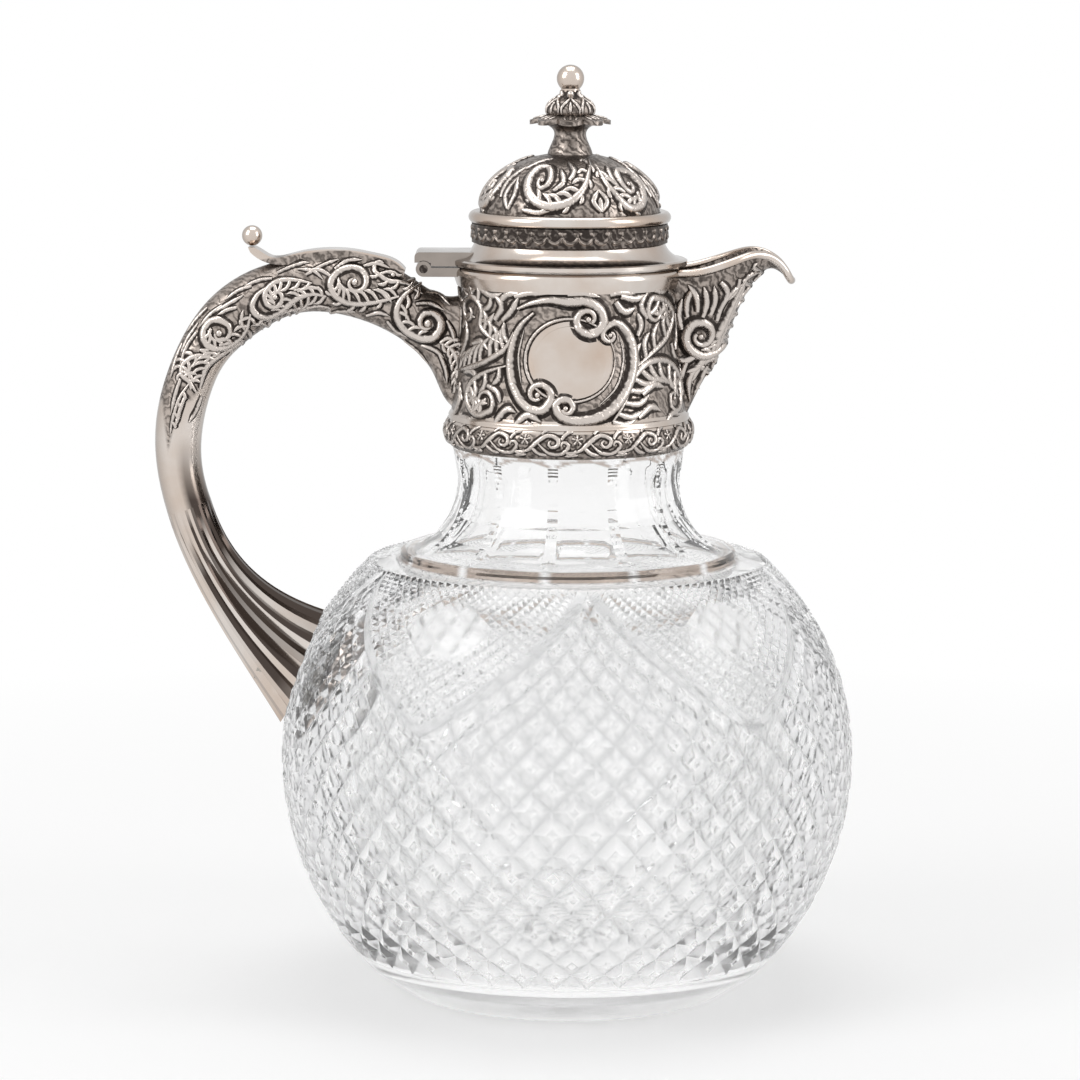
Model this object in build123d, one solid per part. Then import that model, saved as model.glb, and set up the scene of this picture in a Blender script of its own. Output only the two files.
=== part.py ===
"""Claret jug: cut-glass globe, chased silver collar with a beak spout, scroll handle and hinged domed lid.

Frame: millimetres, +Z up, origin at the centre of the flat base. The spout points along +X,
the handle along -X, and the vacant cartouche faces -Y.
"""

from build123d import *
import math
import os

os.makedirs("parts", exist_ok=True)

# ---------------------------------------------------------------- driving dimensions
# Cut-glass globe: two half ellipses that meet at the belly
globe_radius = 71.1
belly_height = 58.0
globe_half_height_above = 68.1
globe_half_height_below = 73.0
foot_radius = 41.0
foot_bevel_height = 6.2
glass_wall = 6.6
glass_floor = 9.5
shoulder_rise = 49.2
shelf_dip = 0.3
step_foot_radius = 44.0
step_top_radius = 41.4
step_rise = 2.6
flare_radius = 40.8
flare_edge_rise = 2.8

# Glass neck
flare_length = 14.4
neck_length = 8.3
tenon_length = 14.7
neck_waist_radius = 27.7
neck_shoulder_radius = 28.6
neck_bore_radius = 22.0
neck_tenon_radius = 25.6
neck_lip_round = 1.2
bore_throat_round = 9.0
panel_count = 12
panel_waist_apothem = 26.75
panel_rim_apothem = 42.2
panel_turn = -8.0
panel_run_out = 0.3
panel_tool_margin = 3.0

# Silver collar, measured up from the glass shoulder that it stands on
sheet = 0.9
collar_foot_gap = 0.2
collar_foot_radius = 28.9
collar_swell_rise = 9.2
collar_waist_radius = 27.0
collar_waist_rise = 30.7
collar_top_radius = 27.3
collar_length = 41.0
base_ring_radius = 30.6
base_ring_rise = 7.5
cement_rise = 13.2

# Rim moulding, measured from the top of the collar
rim_radius = 28.5
rim_ledge = 26.3
rim_rise = 3.4
rim_foot_drop = 1.3

# Vacant cartouche on the collar
cartouche_rise = 23.4
cartouche_radius = 8.6
cartouche_lift = 0.5

# Spout
spout_wall = 1.0
spout_edge_radius = 0.95
spout_solder_gap = 0.2
spout_edge_drop = 0.7
spout_sill_rise = 15.3

# Handle
flute_count = 16
flute_depth = 1.3
socket_height = 80.6
socket_radius = 7.6
socket_depth = 9.0
stud_radius = 5.2
stud_length = 6.5

# Thumb strap on the handle
strap_width = 7.0
thumb_ball_radius = 2.5

# Hinge, placed from the rim
pin_reach = 7.1
pin_drop = 0.4
pin_radius = 1.05
pin_clearance = 0.05
knuckle_radius = 1.9
knuckle_gap = 0.15
hinge_width = 15.0
centre_knuckle_width = 5.4
lug_thickness = 2.2
leaf_thickness = 3.4
heel_overhang = 2.2
heel_underside = 1.55
heel_round = 1.2

# Lid, stacked up from the rim
lid_gap = 0.3
flange_proud = 0.4
flange_edge = 1.3
flange_step = 0.6
cove_top_radius = 23.3
cove_rise = 5.6
band_thickness = 0.7
band_height = 4.6
bead_proud = 0.8
bead_height = 3.0
bead_under_dome = 1.1
dome_setback = 1.3
dome_height = 14.3
bezel_gap = 0.6
bezel_depth = 2.2

# Finial, stacked up from the dome
stem_foot_radius = 5.6
stem_waist_radius = 3.9
stem_top_radius = 6.8
stem_height = 7.8
leaf_disc_radius = 9.9
leaf_disc_thickness = 1.3
leaf_disc_droop = 0.9
leaf_disc_petals = 8
leaf_cup_foot_radius = 5.6
leaf_cup_radius = 5.9
leaf_cup_top_radius = 2.5
leaf_cup_height = 4.6
ball_radius = 3.35
ball_neck_radius = 2.3
ball_neck_height = 0.8
finial_stud_radius = 1.4
finial_stud_clearance = 0.05
finial_stud_end = 1.2
nut_side = 6.0
nut_height = 2.0

# ---------------------------------------------------------------- heights worked out from them
shoulder_shelf_height = belly_height + shoulder_rise
step_top_height = shoulder_shelf_height + step_rise
flare_height = step_top_height + flare_edge_rise
neck_waist_height = flare_height + flare_length
neck_shoulder_height = neck_waist_height + neck_length
neck_top = neck_shoulder_height + tenon_length
collar_foot = neck_shoulder_height + collar_foot_gap
collar_swell_height = neck_shoulder_height + collar_swell_rise
collar_waist_height = neck_shoulder_height + collar_waist_rise
collar_top = neck_shoulder_height + collar_length
base_ring_top = neck_shoulder_height + base_ring_rise
cement_top = neck_shoulder_height + cement_rise
cartouche_height = neck_shoulder_height + cartouche_rise
spout_mouth_sill = neck_shoulder_height + spout_sill_rise
rim_foot_height = collar_top - rim_foot_drop
rim_top = collar_top + rim_rise
pin_x = -(rim_radius + pin_reach)
pin_z = rim_top - pin_drop
lid_seat = rim_top + lid_gap
flange_radius = rim_radius + flange_proud
bezel_radius = rim_ledge - bezel_gap
band_radius = cove_top_radius + band_thickness
bead_radius = band_radius + bead_proud
dome_radius = cove_top_radius - dome_setback
bead_inner_radius = dome_radius - bead_under_dome
cove_top_height = lid_seat + cove_rise
band_top = cove_top_height + band_height
bead_top = band_top + bead_height
dome_top = bead_top + dome_height
stem_top = dome_top + stem_height
leaf_disc_top = stem_top + leaf_disc_thickness
leaf_cup_top = leaf_disc_top + leaf_cup_height
ball_height = leaf_cup_top + ball_neck_height + ball_radius


# ---------------------------------------------------------------- helpers
arc_steps = 8
seam_turn = 100.0


def polar_points(points):
    """Profile points (radius, height) on the XZ plane."""
    return [(radius, 0, height) for radius, height in points]


def turned(points):
    """Solid of revolution about +Z of a closed polygon of (radius, height) points."""
    outline = Polyline(*polar_points(points), close=True)
    return revolve(make_face(outline), Axis.Z)


def turned_face(edges):
    """Solid of revolution about +Z of a closed outline of edges."""
    return revolve(make_face(edges), Axis.Z)


def point(radius, height):
    return (radius, 0, height)


def side_plate(edges, width):
    """Plate of the given width in Y, centred on the XZ plane."""
    return extrude(make_face(edges), width / 2, dir=(0, 1, 0), both=True)


def side_cylinder(x, z, radius, width, y=0.0):
    """Cylinder along Y with its middle at y."""
    return Pos(x, y, z) * Rot(90, 0, 0) * Cylinder(radius, width)


def largest(shape):
    """The biggest of the solids that a cut leaves."""
    return shape.solids().sort_by(SortBy.VOLUME)[-1]


def save(node, shape):
    export_step(shape, f"parts/{node}.step")
    print(node, round(shape.volume, 1))


# ---------------------------------------------------------------- glass body
def ellipse_arc(centre, x_radius, z_radius, start, size):
    """Part of an ellipse on the XZ plane; start and size are its parameter in degrees."""
    turn = math.copysign(1, size)
    angles = [math.radians(start + size * step / arc_steps) for step in range(arc_steps + 1)]
    places = [
        point(centre[0] + x_radius * math.cos(angle), centre[1] + z_radius * math.sin(angle))
        for angle in angles
    ]
    directions = [
        (-turn * x_radius * math.sin(angle), 0, turn * z_radius * math.cos(angle))
        for angle in (angles[0], angles[-1])
    ]
    return Spline(*places, tangents=directions)


def ellipse_angle(rise, half_height):
    return math.degrees(math.asin(rise / half_height))


def globe_skin(inset):
    """The two ellipse arcs of the globe's side, from the foot up to the shoulder shelf."""
    below = globe_half_height_below - inset
    above = globe_half_height_above - inset
    low = -ellipse_angle(belly_height - foot_bevel_height, globe_half_height_below)
    high = ellipse_angle(shoulder_shelf_height - belly_height, globe_half_height_above)
    centre = (0, belly_height)
    width = globe_radius - inset
    return ellipse_arc(centre, width, below, low, -low), ellipse_arc(centre, width, above, 0, high)


def glass_outside():
    lower, upper = globe_skin(0)
    flare_width = flare_radius - neck_waist_radius
    flare_rise = neck_waist_height - flare_height
    flare = ellipse_arc((flare_radius, neck_waist_height), flare_width, flare_rise, 180, 90)
    step_edge = ThreePointArc(
        point(flare_radius, flare_height),
        point(step_top_radius + 0.15, (flare_height + step_top_height) / 2 + 0.4),
        point(step_top_radius, step_top_height),
    )
    neck = ThreePointArc(
        point(neck_waist_radius, neck_waist_height),
        point(neck_waist_radius + 0.22, (neck_waist_height + neck_shoulder_height) / 2),
        point(neck_shoulder_radius, neck_shoulder_height),
    )
    foot = Polyline(*polar_points([(0, 0), (foot_radius, 0)]), lower @ 0)
    shelf = Polyline(upper @ 1, *polar_points([
        (step_foot_radius, shoulder_shelf_height - shelf_dip),
        (step_top_radius, step_top_height),
    ]))
    tenon = Polyline(*polar_points([
        (neck_shoulder_radius, neck_shoulder_height),
        (neck_tenon_radius, neck_shoulder_height),
        (neck_tenon_radius, neck_top),
        (0, neck_top),
        (0, 0),
    ]))
    return turned_face([foot, lower, upper, shelf, step_edge, flare, neck, tenon])


def panel_tool():
    """What stands outside one of the neck's flat panels, on the +X side."""
    rim_width = panel_rim_apothem - panel_waist_apothem
    rise = neck_waist_height - flare_height
    reach = panel_rim_apothem + panel_tool_margin
    half_width = reach * math.tan(math.pi / panel_count)
    flare = ellipse_arc((panel_rim_apothem, neck_waist_height), rim_width, rise, 180, 90)
    top_apothem = neck_shoulder_radius + panel_run_out
    neck = ThreePointArc(
        point(panel_waist_apothem, neck_waist_height),
        point(panel_waist_apothem + 0.35, (neck_waist_height + neck_shoulder_height) / 2),
        point(top_apothem, neck_shoulder_height),
    )
    rest = Polyline(*polar_points([
        (top_apothem, neck_shoulder_height),
        (reach, neck_shoulder_height),
        (reach, flare_height),
        (panel_rim_apothem, flare_height),
    ]))
    return side_plate([flare, neck, rest], 2 * half_width)


def glass_cavity():
    inner_radius = globe_radius - glass_wall
    below = globe_half_height_below - glass_wall
    above = globe_half_height_above - glass_wall
    low = -ellipse_angle(belly_height - glass_floor, below)
    high = math.degrees(math.acos(neck_bore_radius / inner_radius))
    centre = (0, belly_height)
    lower = ellipse_arc(centre, inner_radius, below, low, -low)
    upper = ellipse_arc(centre, inner_radius, above, 0, high)
    close = Polyline(upper @ 1, *polar_points([
        (neck_bore_radius, neck_top + 1),
        (0, neck_top + 1),
        (0, glass_floor),
    ]), lower @ 0)
    cavity = turned_face([lower, upper, close])
    throat = cavity.edges().filter_by(GeomType.CIRCLE)
    throat_height = (upper @ 1).Z
    throat = throat.filter_by(lambda edge: abs(edge.center().Z - throat_height) < 0.01)
    return Rot(0, 0, seam_turn) * fillet(throat, bore_throat_round)


def globe_normal(height):
    """Point on the globe's skin at a height, on the -X side, and the outward direction there."""
    rise = height - belly_height
    radius = globe_radius * math.sqrt(1 - (rise / globe_half_height_above) ** 2)
    normal = Vector(-radius / globe_radius**2, 0, rise / globe_half_height_above**2).normalized()
    return Vector(-radius, 0, height), normal


def socket_cylinder(radius, length, sunk):
    """Cylinder square to the globe, under the handle's socket, sunk into the glass by a depth."""
    seat, normal = globe_normal(socket_height)
    plane = Plane(origin=seat - normal * sunk, z_dir=normal)
    return plane * Cylinder(radius, length + sunk, align=(Align.CENTER, Align.CENTER, Align.MIN))


def panelled(glass):
    """The glass with the neck's flat panels cut."""
    cutter = panel_tool()
    for index in range(panel_count):
        turn = panel_turn + (index + 0.5) * 360 / panel_count
        glass = glass - Rot(0, 0, turn) * cutter
    return largest(glass)


globe_solid = panelled(glass_outside())
glass_body = panelled(glass_outside() - glass_cavity())
lip_edges = glass_body.edges().filter_by(lambda edge: abs(edge.center().Z - neck_top) < 0.01)
glass_body = fillet(lip_edges.filter_by(GeomType.CIRCLE), neck_lip_round)
glass_body = largest(glass_body + socket_cylinder(stud_radius, stud_length, glass_wall / 2))
save("glass_body", glass_body)


# ---------------------------------------------------------------- collar
def collar_skin(inset):
    """Side of the collar from its foot to its top, moved inwards by a thickness."""
    foot = point(collar_foot_radius - inset, neck_shoulder_height + 0.2)
    swell = point(collar_foot_radius - inset, collar_swell_height)
    waist = point(collar_waist_radius - inset, collar_waist_height)
    top = point(collar_top_radius - inset, collar_top)
    curve = Spline(swell, waist, top, tangents=[(-0.12, 0, 1), (0.05, 0, 1)])
    return [Line(foot, swell), curve], foot, top


def collar_block(inset, bottom, top):
    """Solid core of the collar's shape between two heights."""
    skin, foot, crown = collar_skin(inset)
    close = Polyline(crown, (0, 0, crown[2]), (0, 0, foot[2]), foot)
    core = turned_face([*skin, close])
    slab = Pos(0, 0, (bottom + top) / 2) * Cylinder(60, top - bottom)
    return core & slab


collar_core = collar_block(0, 0, 300)
collar_bore = collar_block(sheet, 0, 300)
plaque_block = side_cylinder(
    0, cartouche_height, cartouche_radius, collar_foot_radius, -collar_foot_radius / 2
)
plaque_limit = collar_block(-cartouche_lift, 0, 300)
collar_wall = collar_core + (plaque_block & plaque_limit) - collar_bore

neck_cement = turned([
    (neck_tenon_radius, neck_shoulder_height),
    (collar_foot_radius - sheet / 2, neck_shoulder_height),
    (collar_foot_radius - sheet / 2, collar_swell_height),
    (collar_waist_radius, cement_top),
    (neck_tenon_radius, cement_top),
]) - (collar_core - collar_bore)
save("neck_cement", neck_cement)

base_ring_middle = (neck_shoulder_height + 0.2 + base_ring_top) / 2
base_ring = turned_face([
    ThreePointArc(
        point(collar_foot_radius, neck_shoulder_height + 0.2),
        point(base_ring_radius, base_ring_middle),
        point(collar_foot_radius, base_ring_top),
    ),
    Line(point(collar_foot_radius, base_ring_top), point(collar_foot_radius, neck_shoulder_height + 0.2)),
])
save("collar_base_ring", base_ring)

rim_ring = turned_face([
    Polyline(*polar_points([
        (rim_radius - 0.9, rim_top),
        (rim_ledge, rim_top),
        (rim_ledge, collar_top),
        (collar_top_radius, collar_top),
        (collar_top_radius - 0.05, rim_foot_height),
        (collar_top_radius + 0.3, rim_foot_height),
    ])),
    ThreePointArc(
        point(collar_top_radius + 0.3, rim_foot_height),
        point(rim_radius - 0.45, rim_foot_height + 1.2),
        point(rim_radius, rim_top - 1.9),
    ),
    ThreePointArc(
        point(rim_radius, rim_top - 1.9),
        point(rim_radius - 0.15, rim_top - 0.8),
        point(rim_radius - 0.9, rim_top),
    ),
]) - collar_core


# ---------------------------------------------------------------- spout
# Stations along the beak: distance outside the rim, its underside and its edge above the rim's top, and the
# half-width at the edge
spout_stations = [
    (-8.5, -40.7, -0.4, 8.2),
    (-2.0, -38.7, -0.3, 9.9),
    (0.7, -36.1, -0.2, 10.6),
    (4.5, -28.3, 0.5, 11.4),
    (8.1, -22.3, 1.6, 11.2),
    (12.2, -12.5, 3.0, 10.0),
    (15.1, -6.3, 3.9, 8.4),
    (17.7, -2.5, 4.1, 6.6),
    (20.1, -0.6, 3.5, 5.4),
    (22.3, -0.8, 2.2, 4.8),
    (24.1, -2.1, 0.3, 4.2),
    (25.5, -3.5, -2.1, 2.8),
]
spout_tip_overhang = 0.5
beak_fullness = 0.66
beak_side_rise = 0.42


def beak_section(station, thinner):
    """Upright section of the beak: a U between two edges, closed by a straight top."""
    out, low, high, half = station
    x = rim_radius + out
    width = half - thinner
    bottom = rim_top + low + thinner * 1.2
    top = rim_top + high + thinner * 1.2
    side = bottom + beak_side_rise * (top - bottom)
    bowl = Spline(
        (x, -width, top),
        (x, -width * beak_fullness, side),
        (x, 0, bottom),
        (x, width * beak_fullness, side),
        (x, width, top),
    )
    return make_face([bowl, Line((x, width, top), (x, -width, top))])


def beak(stations, thinner=0.0):
    return loft([beak_section(station, thinner) for station in stations])


def edge_path():
    """Line of the edge moulding: out along one side of the beak, round the lip and back."""
    near = [
        (rim_radius + out, -half, rim_top + high - spout_edge_drop)
        for out, low, high, half in spout_stations[1:]
    ]
    far = [(x, -y, z) for x, y, z in reversed(near)]
    tip_x, tip_y, tip_z = near[-1]
    return Spline(*near, (tip_x + spout_tip_overhang, 0, tip_z - spout_tip_overhang), *far)


root_out, root_low, root_high, root_half = spout_stations[0]
channel_root = (root_out - 3, root_low, root_high, root_half)
beak_solid = beak(spout_stations)
beak_channel = beak([channel_root] + spout_stations[1:-1], spout_wall)
edge_line = edge_path()
edge_start = Plane(origin=edge_line @ 0, z_dir=edge_line % 0)
edge_tube = sweep(edge_start * Circle(spout_edge_radius), path=edge_line)
edge_seat = sweep(edge_start * Circle(spout_edge_radius + spout_solder_gap), path=edge_line)
beak_outside = largest(beak_solid - collar_core - rim_ring)
spout = largest(largest(beak_outside - beak_channel) - edge_seat)
spout_edge = largest(edge_tube - rim_ring - collar_core)
save("spout", spout)
save("spout_edge", spout_edge)

sill_block = Pos(0, 0, spout_mouth_sill) * Box(200, 200, 200, align=(Align.CENTER, Align.CENTER, Align.MIN))
collar_wall = collar_wall - (beak_channel & sill_block)
collar_rim = rim_ring - beak_channel
save("collar_wall", collar_wall)
save("collar_rim", collar_rim)


# ---------------------------------------------------------------- handle
# Upper stations, placed from the rim: outer point (out, up), inner point (out, up), half-width
upper_stations = [
    ((-2.0, -7.2), (-2.0, -36.2), 5.5),
    ((8.3, -4.4), (5.0, -26.5), 6.0),
    ((16.5, 0.3), (14.0, -17.5), 6.2),
    ((31.0, 2.2), (31.0, -11.7), 6.2),
    ((46.5, -0.3), (42.0, -13.3), 6.2),
    ((61.6, -10.5), (53.0, -20.9), 6.1),
]
# Lower stations, placed from the socket's seat on the glass
lower_stations = [
    ((32.2, 71.3), (20.6, 68.8), 5.8),
    ((35.0, 54.9), (23.6, 54.9), 5.6),
    ((32.0, 37.0), (21.4, 41.0), 5.8),
    ((25.6, 20.9), (16.0, 29.0), 6.6),
    ((16.7, 4.8), (7.4, 20.0), 8.6),
    ((4.4, -15.1), (-9.6, 12.2), 12.0),
]
flute_start = 2
flute_shares = [0.05, 0.5, 0.9, 1.0]


def from_rim(out, up):
    """Point on the handle's side of the jug, placed from the rim."""
    return Vector(-(rim_radius + out), 0, rim_top + up)


def from_socket(out, up):
    seat, normal = globe_normal(socket_height)
    return Vector(seat.X - out, 0, seat.Z + up)


def handle_plane(outer, inner):
    """Plane square to the handle between its outer and inner edge, with the half-height there."""
    across = (outer - inner).normalized()
    plane = Plane(origin=(outer + inner) / 2, x_dir=across, z_dir=(-across.Z, 0, across.X))
    return plane, (outer - inner).length / 2


def handle_section(outer, inner, half_width):
    plane, half_height = handle_plane(outer, inner)
    return plane * Ellipse(half_height, half_width)


def fluted_section(outer, inner, half_width, depth):
    """Ring of lobes, each of three short sides, whose crests reach the handle's outline."""
    plane, half_height = handle_plane(outer, inner)
    corners = []
    for index in range(3 * flute_count):
        angle = 2 * math.pi * index / (3 * flute_count)
        inset = depth if index % 3 == 0 else 0.0
        corners.append(((half_height - inset) * math.cos(angle), (half_width - inset) * math.sin(angle)))
    return plane * make_face(Polyline(*corners, close=True))


upper_points = [(from_rim(*outer), from_rim(*inner), half) for outer, inner, half in upper_stations]
lower_points = [(from_socket(*outer), from_socket(*inner), half) for outer, inner, half in lower_stations]
fluted_points = lower_points[flute_start:]
join_outer, join_inner, join_half = fluted_points[0]
join_plane, join_height = handle_plane(join_outer, join_inner)
plain_handle = loft([handle_section(*station) for station in upper_points + lower_points])
plain_handle = split(plain_handle, bisect_by=join_plane, keep=Keep.BOTTOM)
fluted_handle = loft([
    fluted_section(*station, share * flute_depth)
    for station, share in zip(fluted_points, flute_shares)
])
socket_bore = socket_cylinder(socket_radius, socket_depth, glass_wall)
handle = plain_handle + fluted_handle - globe_solid - collar_core - socket_bore
handle = largest(handle)
save("handle", handle)

stud_post = socket_cylinder(stud_radius, stud_length, glass_wall / 2)
save("handle_cement", socket_bore - globe_solid - stud_post)


# ---------------------------------------------------------------- thumb strap
# Top and underside of the ribbon from the hinge end to the ball end, placed from the rim
strap_top = [(11.7, -1.0), (14.8, 1.5), (19.1, 2.7), (25.0, 3.8), (31.0, 4.0), (38.9, 2.8), (44.6, 2.1)]
strap_curl = [(47.2, 3.6), (48.7, 4.4)]
strap_end = (50.1, 4.4)
strap_under = [(49.6, 3.2), (47.6, 1.6), (44.6, 0.4), (38.9, 0.1), (31.0, -0.5), (19.1, -2.0), (12.2, -2.6)]
ball_place = (49.3, 7.05)

strap_outline = [
    Spline(*[from_rim(*place) for place in strap_top + strap_curl]),
    Line(from_rim(*strap_curl[-1]), from_rim(*strap_end)),
    Line(from_rim(*strap_end), from_rim(*strap_under[0])),
    Spline(*[from_rim(*place) for place in strap_under]),
    Line(from_rim(*strap_under[-1]), from_rim(*strap_top[0])),
]
strap_plate = side_plate(strap_outline, strap_width)
thumb_strap = largest(strap_plate - handle)
thumb_ball = Pos(*from_rim(*ball_place)) * Sphere(thumb_ball_radius) - thumb_strap
save("thumb_strap", thumb_strap)
save("thumb_ball", thumb_ball)


# ---------------------------------------------------------------- hinge
centre_half = centre_knuckle_width / 2
outer_half = hinge_width / 2
lug_top = lid_seat - lid_gap - 0.1
relief_radius = knuckle_radius + knuckle_gap
outer_length = outer_half - centre_half - knuckle_gap
outer_middle = (outer_half + centre_half + knuckle_gap) / 2

hinge_pin = side_cylinder(pin_x, pin_z, pin_radius, hinge_width)
pin_space = side_cylinder(pin_x, pin_z, pin_radius, hinge_width + 2)
pin_running_space = side_cylinder(pin_x, pin_z, pin_radius + pin_clearance, hinge_width + 2)
save("hinge_pin", hinge_pin)

lug_plate = Pos((pin_x - rim_ledge) / 2, 0, (lug_top + lug_top - lug_thickness) / 2) * Box(
    -rim_ledge - pin_x, hinge_width, lug_thickness
)
centre_relief = side_cylinder(pin_x, pin_z, relief_radius, centre_knuckle_width + 2 * knuckle_gap)
outer_knuckles = [
    side_cylinder(pin_x, pin_z, knuckle_radius, outer_length, side * outer_middle) for side in (-1, 1)
]
hinge_lug = lug_plate + outer_knuckles[0] + outer_knuckles[1]
hinge_lug = largest(hinge_lug - centre_relief - pin_space - rim_ring - collar_core)
save("hinge_lug", hinge_lug)


def from_pin(along, up):
    """Point on the XZ plane, placed from the pin's centre; along is towards the spout."""
    return (pin_x + along, 0, pin_z + up)


leaf_underside = lid_seat - pin_z
leaf_top = leaf_underside + leaf_thickness
leaf_reach = pin_reach + rim_radius - cove_top_radius
heel_corner = (-heel_overhang + heel_round, leaf_top - heel_round)
slant = heel_round * math.sqrt(0.5)
leaf_outline = [
    Polyline(from_pin(-heel_overhang, heel_underside), from_pin(-heel_overhang, leaf_top - heel_round)),
    ThreePointArc(
        from_pin(-heel_overhang, leaf_top - heel_round),
        from_pin(heel_corner[0] - slant, heel_corner[1] + slant),
        from_pin(-heel_overhang + heel_round, leaf_top),
    ),
    Polyline(
        from_pin(-heel_overhang + heel_round, leaf_top),
        from_pin(leaf_reach, leaf_top),
        from_pin(leaf_reach, leaf_underside),
        from_pin(relief_radius - 0.3, leaf_underside),
        from_pin(relief_radius - 0.3, heel_underside),
        from_pin(-heel_overhang, heel_underside),
    ),
]
leaf_plate = side_plate(leaf_outline, hinge_width)
for side in (-1, 1):
    leaf_plate = leaf_plate - side_cylinder(
        pin_x, pin_z, relief_radius, outer_length + 2 * knuckle_gap, side * outer_middle
    )
centre_knuckle = side_cylinder(pin_x, pin_z, knuckle_radius, centre_knuckle_width)
hinge_leaf = leaf_plate + centre_knuckle - pin_running_space


# ---------------------------------------------------------------- lid
def cove(inset):
    """Hollow curve of the lid's base from the flange to the foot of its upright wall."""
    foot_radius_here = flange_radius - flange_step - inset
    foot_height = lid_seat + flange_edge + flange_step / 2 - inset * 0.4
    top_radius_here = cove_top_radius - inset
    middle_radius = top_radius_here + 0.32 * (foot_radius_here - top_radius_here)
    middle_height = foot_height + 0.36 * (cove_top_height - foot_height)
    return ThreePointArc(
        point(foot_radius_here, foot_height),
        point(middle_radius, middle_height),
        point(top_radius_here, cove_top_height),
    )


def lid_base_outline(inner_outline):
    outer_cove = cove(0)
    return [
        Polyline(
            point(flange_radius - 0.3, lid_seat),
            point(flange_radius, lid_seat + 0.4),
            point(flange_radius, lid_seat + flange_edge),
            outer_cove @ 0,
        ),
        outer_cove,
        Line(outer_cove @ 1, point(cove_top_radius, band_top)),
        *inner_outline,
    ]


inner_cove = cove(sheet)
bezel_inner_radius = bezel_radius - sheet
lid_base = turned_face(lid_base_outline([
    Polyline(point(cove_top_radius, band_top), point(cove_top_radius - sheet, band_top), inner_cove @ 1),
    inner_cove,
    Polyline(
        inner_cove @ 0,
        point(bezel_inner_radius, lid_seat + sheet),
        point(bezel_inner_radius, lid_seat),
        point(flange_radius - 0.3, lid_seat),
    ),
]))
lid_base_filled = turned_face(lid_base_outline([
    Polyline(*polar_points([
        (cove_top_radius, band_top),
        (0, band_top),
        (0, lid_seat),
        (flange_radius - 0.3, lid_seat),
    ])),
]))
hinge_leaf = largest(hinge_leaf - lid_base_filled)
save("hinge_leaf", hinge_leaf)
save("lid_base", lid_base)

save("lid_bezel", turned([
    (bezel_inner_radius, lid_seat),
    (bezel_radius, lid_seat),
    (bezel_radius, lid_seat - bezel_depth),
    (bezel_inner_radius, lid_seat - bezel_depth),
]))
save("lid_border_band", turned([
    (cove_top_radius, cove_top_height),
    (band_radius, cove_top_height),
    (band_radius, band_top),
    (cove_top_radius, band_top),
]))

bead_foot = bead_radius - bead_height / 2
save("lid_bead", turned_face([
    ThreePointArc(
        point(bead_foot, band_top),
        point(bead_radius, (band_top + bead_top) / 2),
        point(bead_foot, bead_top),
    ),
    Polyline(
        point(bead_foot, bead_top),
        point(bead_inner_radius, bead_top),
        point(bead_inner_radius, band_top),
        point(bead_foot, band_top),
    ),
]))


def dome_block(inset):
    """Solid half ellipsoid of the dome's shape, moved inwards by a thickness."""
    side = ellipse_arc((0, bead_top), dome_radius - inset, dome_height - inset, 0, 90)
    return turned_face([side, Polyline(point(0, dome_top - inset), point(0, bead_top), side @ 0)])


finial_stud_space = Pos(0, 0, dome_top) * Cylinder(finial_stud_radius + finial_stud_clearance, 2 * nut_side)
dome_outer = dome_block(0)
save("lid_dome", dome_outer - dome_block(sheet) - finial_stud_space)


# ---------------------------------------------------------------- finial
through_radius = finial_stud_radius + finial_stud_clearance
stem_skin = Spline(
    point(stem_foot_radius, dome_top - 1.2),
    point(stem_foot_radius - 0.4, dome_top + 0.6),
    point(stem_waist_radius, dome_top + stem_height * 0.52),
    point(stem_top_radius, stem_top - leaf_disc_droop),
)
finial_stem = turned_face([
    stem_skin,
    Polyline(
        stem_skin @ 1,
        point(stem_top_radius - 2, stem_top),
        point(through_radius, stem_top),
        point(through_radius, dome_top - 1.2),
        stem_skin @ 0,
    ),
]) - dome_outer
save("finial_stem", finial_stem)

disc_plan = Circle(leaf_disc_radius * 0.6)
petal_reach = leaf_disc_radius * 0.62
petal_half_width = leaf_disc_radius * math.sin(math.pi / leaf_disc_petals) * 0.9
for index in range(leaf_disc_petals):
    disc_plan += Rot(0, 0, index * 360 / leaf_disc_petals) * Pos(petal_reach, 0) * Ellipse(
        leaf_disc_radius - petal_reach, petal_half_width
    )
disc_under = Spline(
    point(stem_top_radius - 2, stem_top), point(stem_top_radius, stem_top - leaf_disc_droop * 0.35),
    point(leaf_disc_radius + 1, stem_top - leaf_disc_droop * 1.6),
)
disc_upper = Spline(
    point(stem_top_radius - 2, leaf_disc_top),
    point(stem_top_radius, leaf_disc_top - leaf_disc_droop * 0.45),
    point(leaf_disc_radius + 1, leaf_disc_top - leaf_disc_droop * 1.9),
)
disc_shell = turned_face([
    Polyline(
        disc_under @ 0,
        point(through_radius, stem_top),
        point(through_radius, leaf_disc_top),
        disc_upper @ 0,
    ),
    disc_upper,
    Line(disc_upper @ 1, disc_under @ 1),
    disc_under,
])
disc_prism = Pos(0, 0, stem_top - 5) * extrude(disc_plan, 10)
save("finial_leaf_disc", largest((disc_shell & disc_prism) - finial_stem))

cup_skin = Spline(
    point(leaf_cup_foot_radius, leaf_disc_top),
    point(leaf_cup_radius, leaf_disc_top + leaf_cup_height * 0.3),
    point((leaf_cup_radius + leaf_cup_top_radius) / 2, leaf_disc_top + leaf_cup_height * 0.78),
    point(leaf_cup_top_radius, leaf_cup_top),
)
save("finial_leaf_cup", turned_face([
    cup_skin,
    Polyline(
        cup_skin @ 1,
        point(through_radius, leaf_cup_top),
        point(through_radius, leaf_disc_top),
        cup_skin @ 0,
    ),
]))

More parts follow.
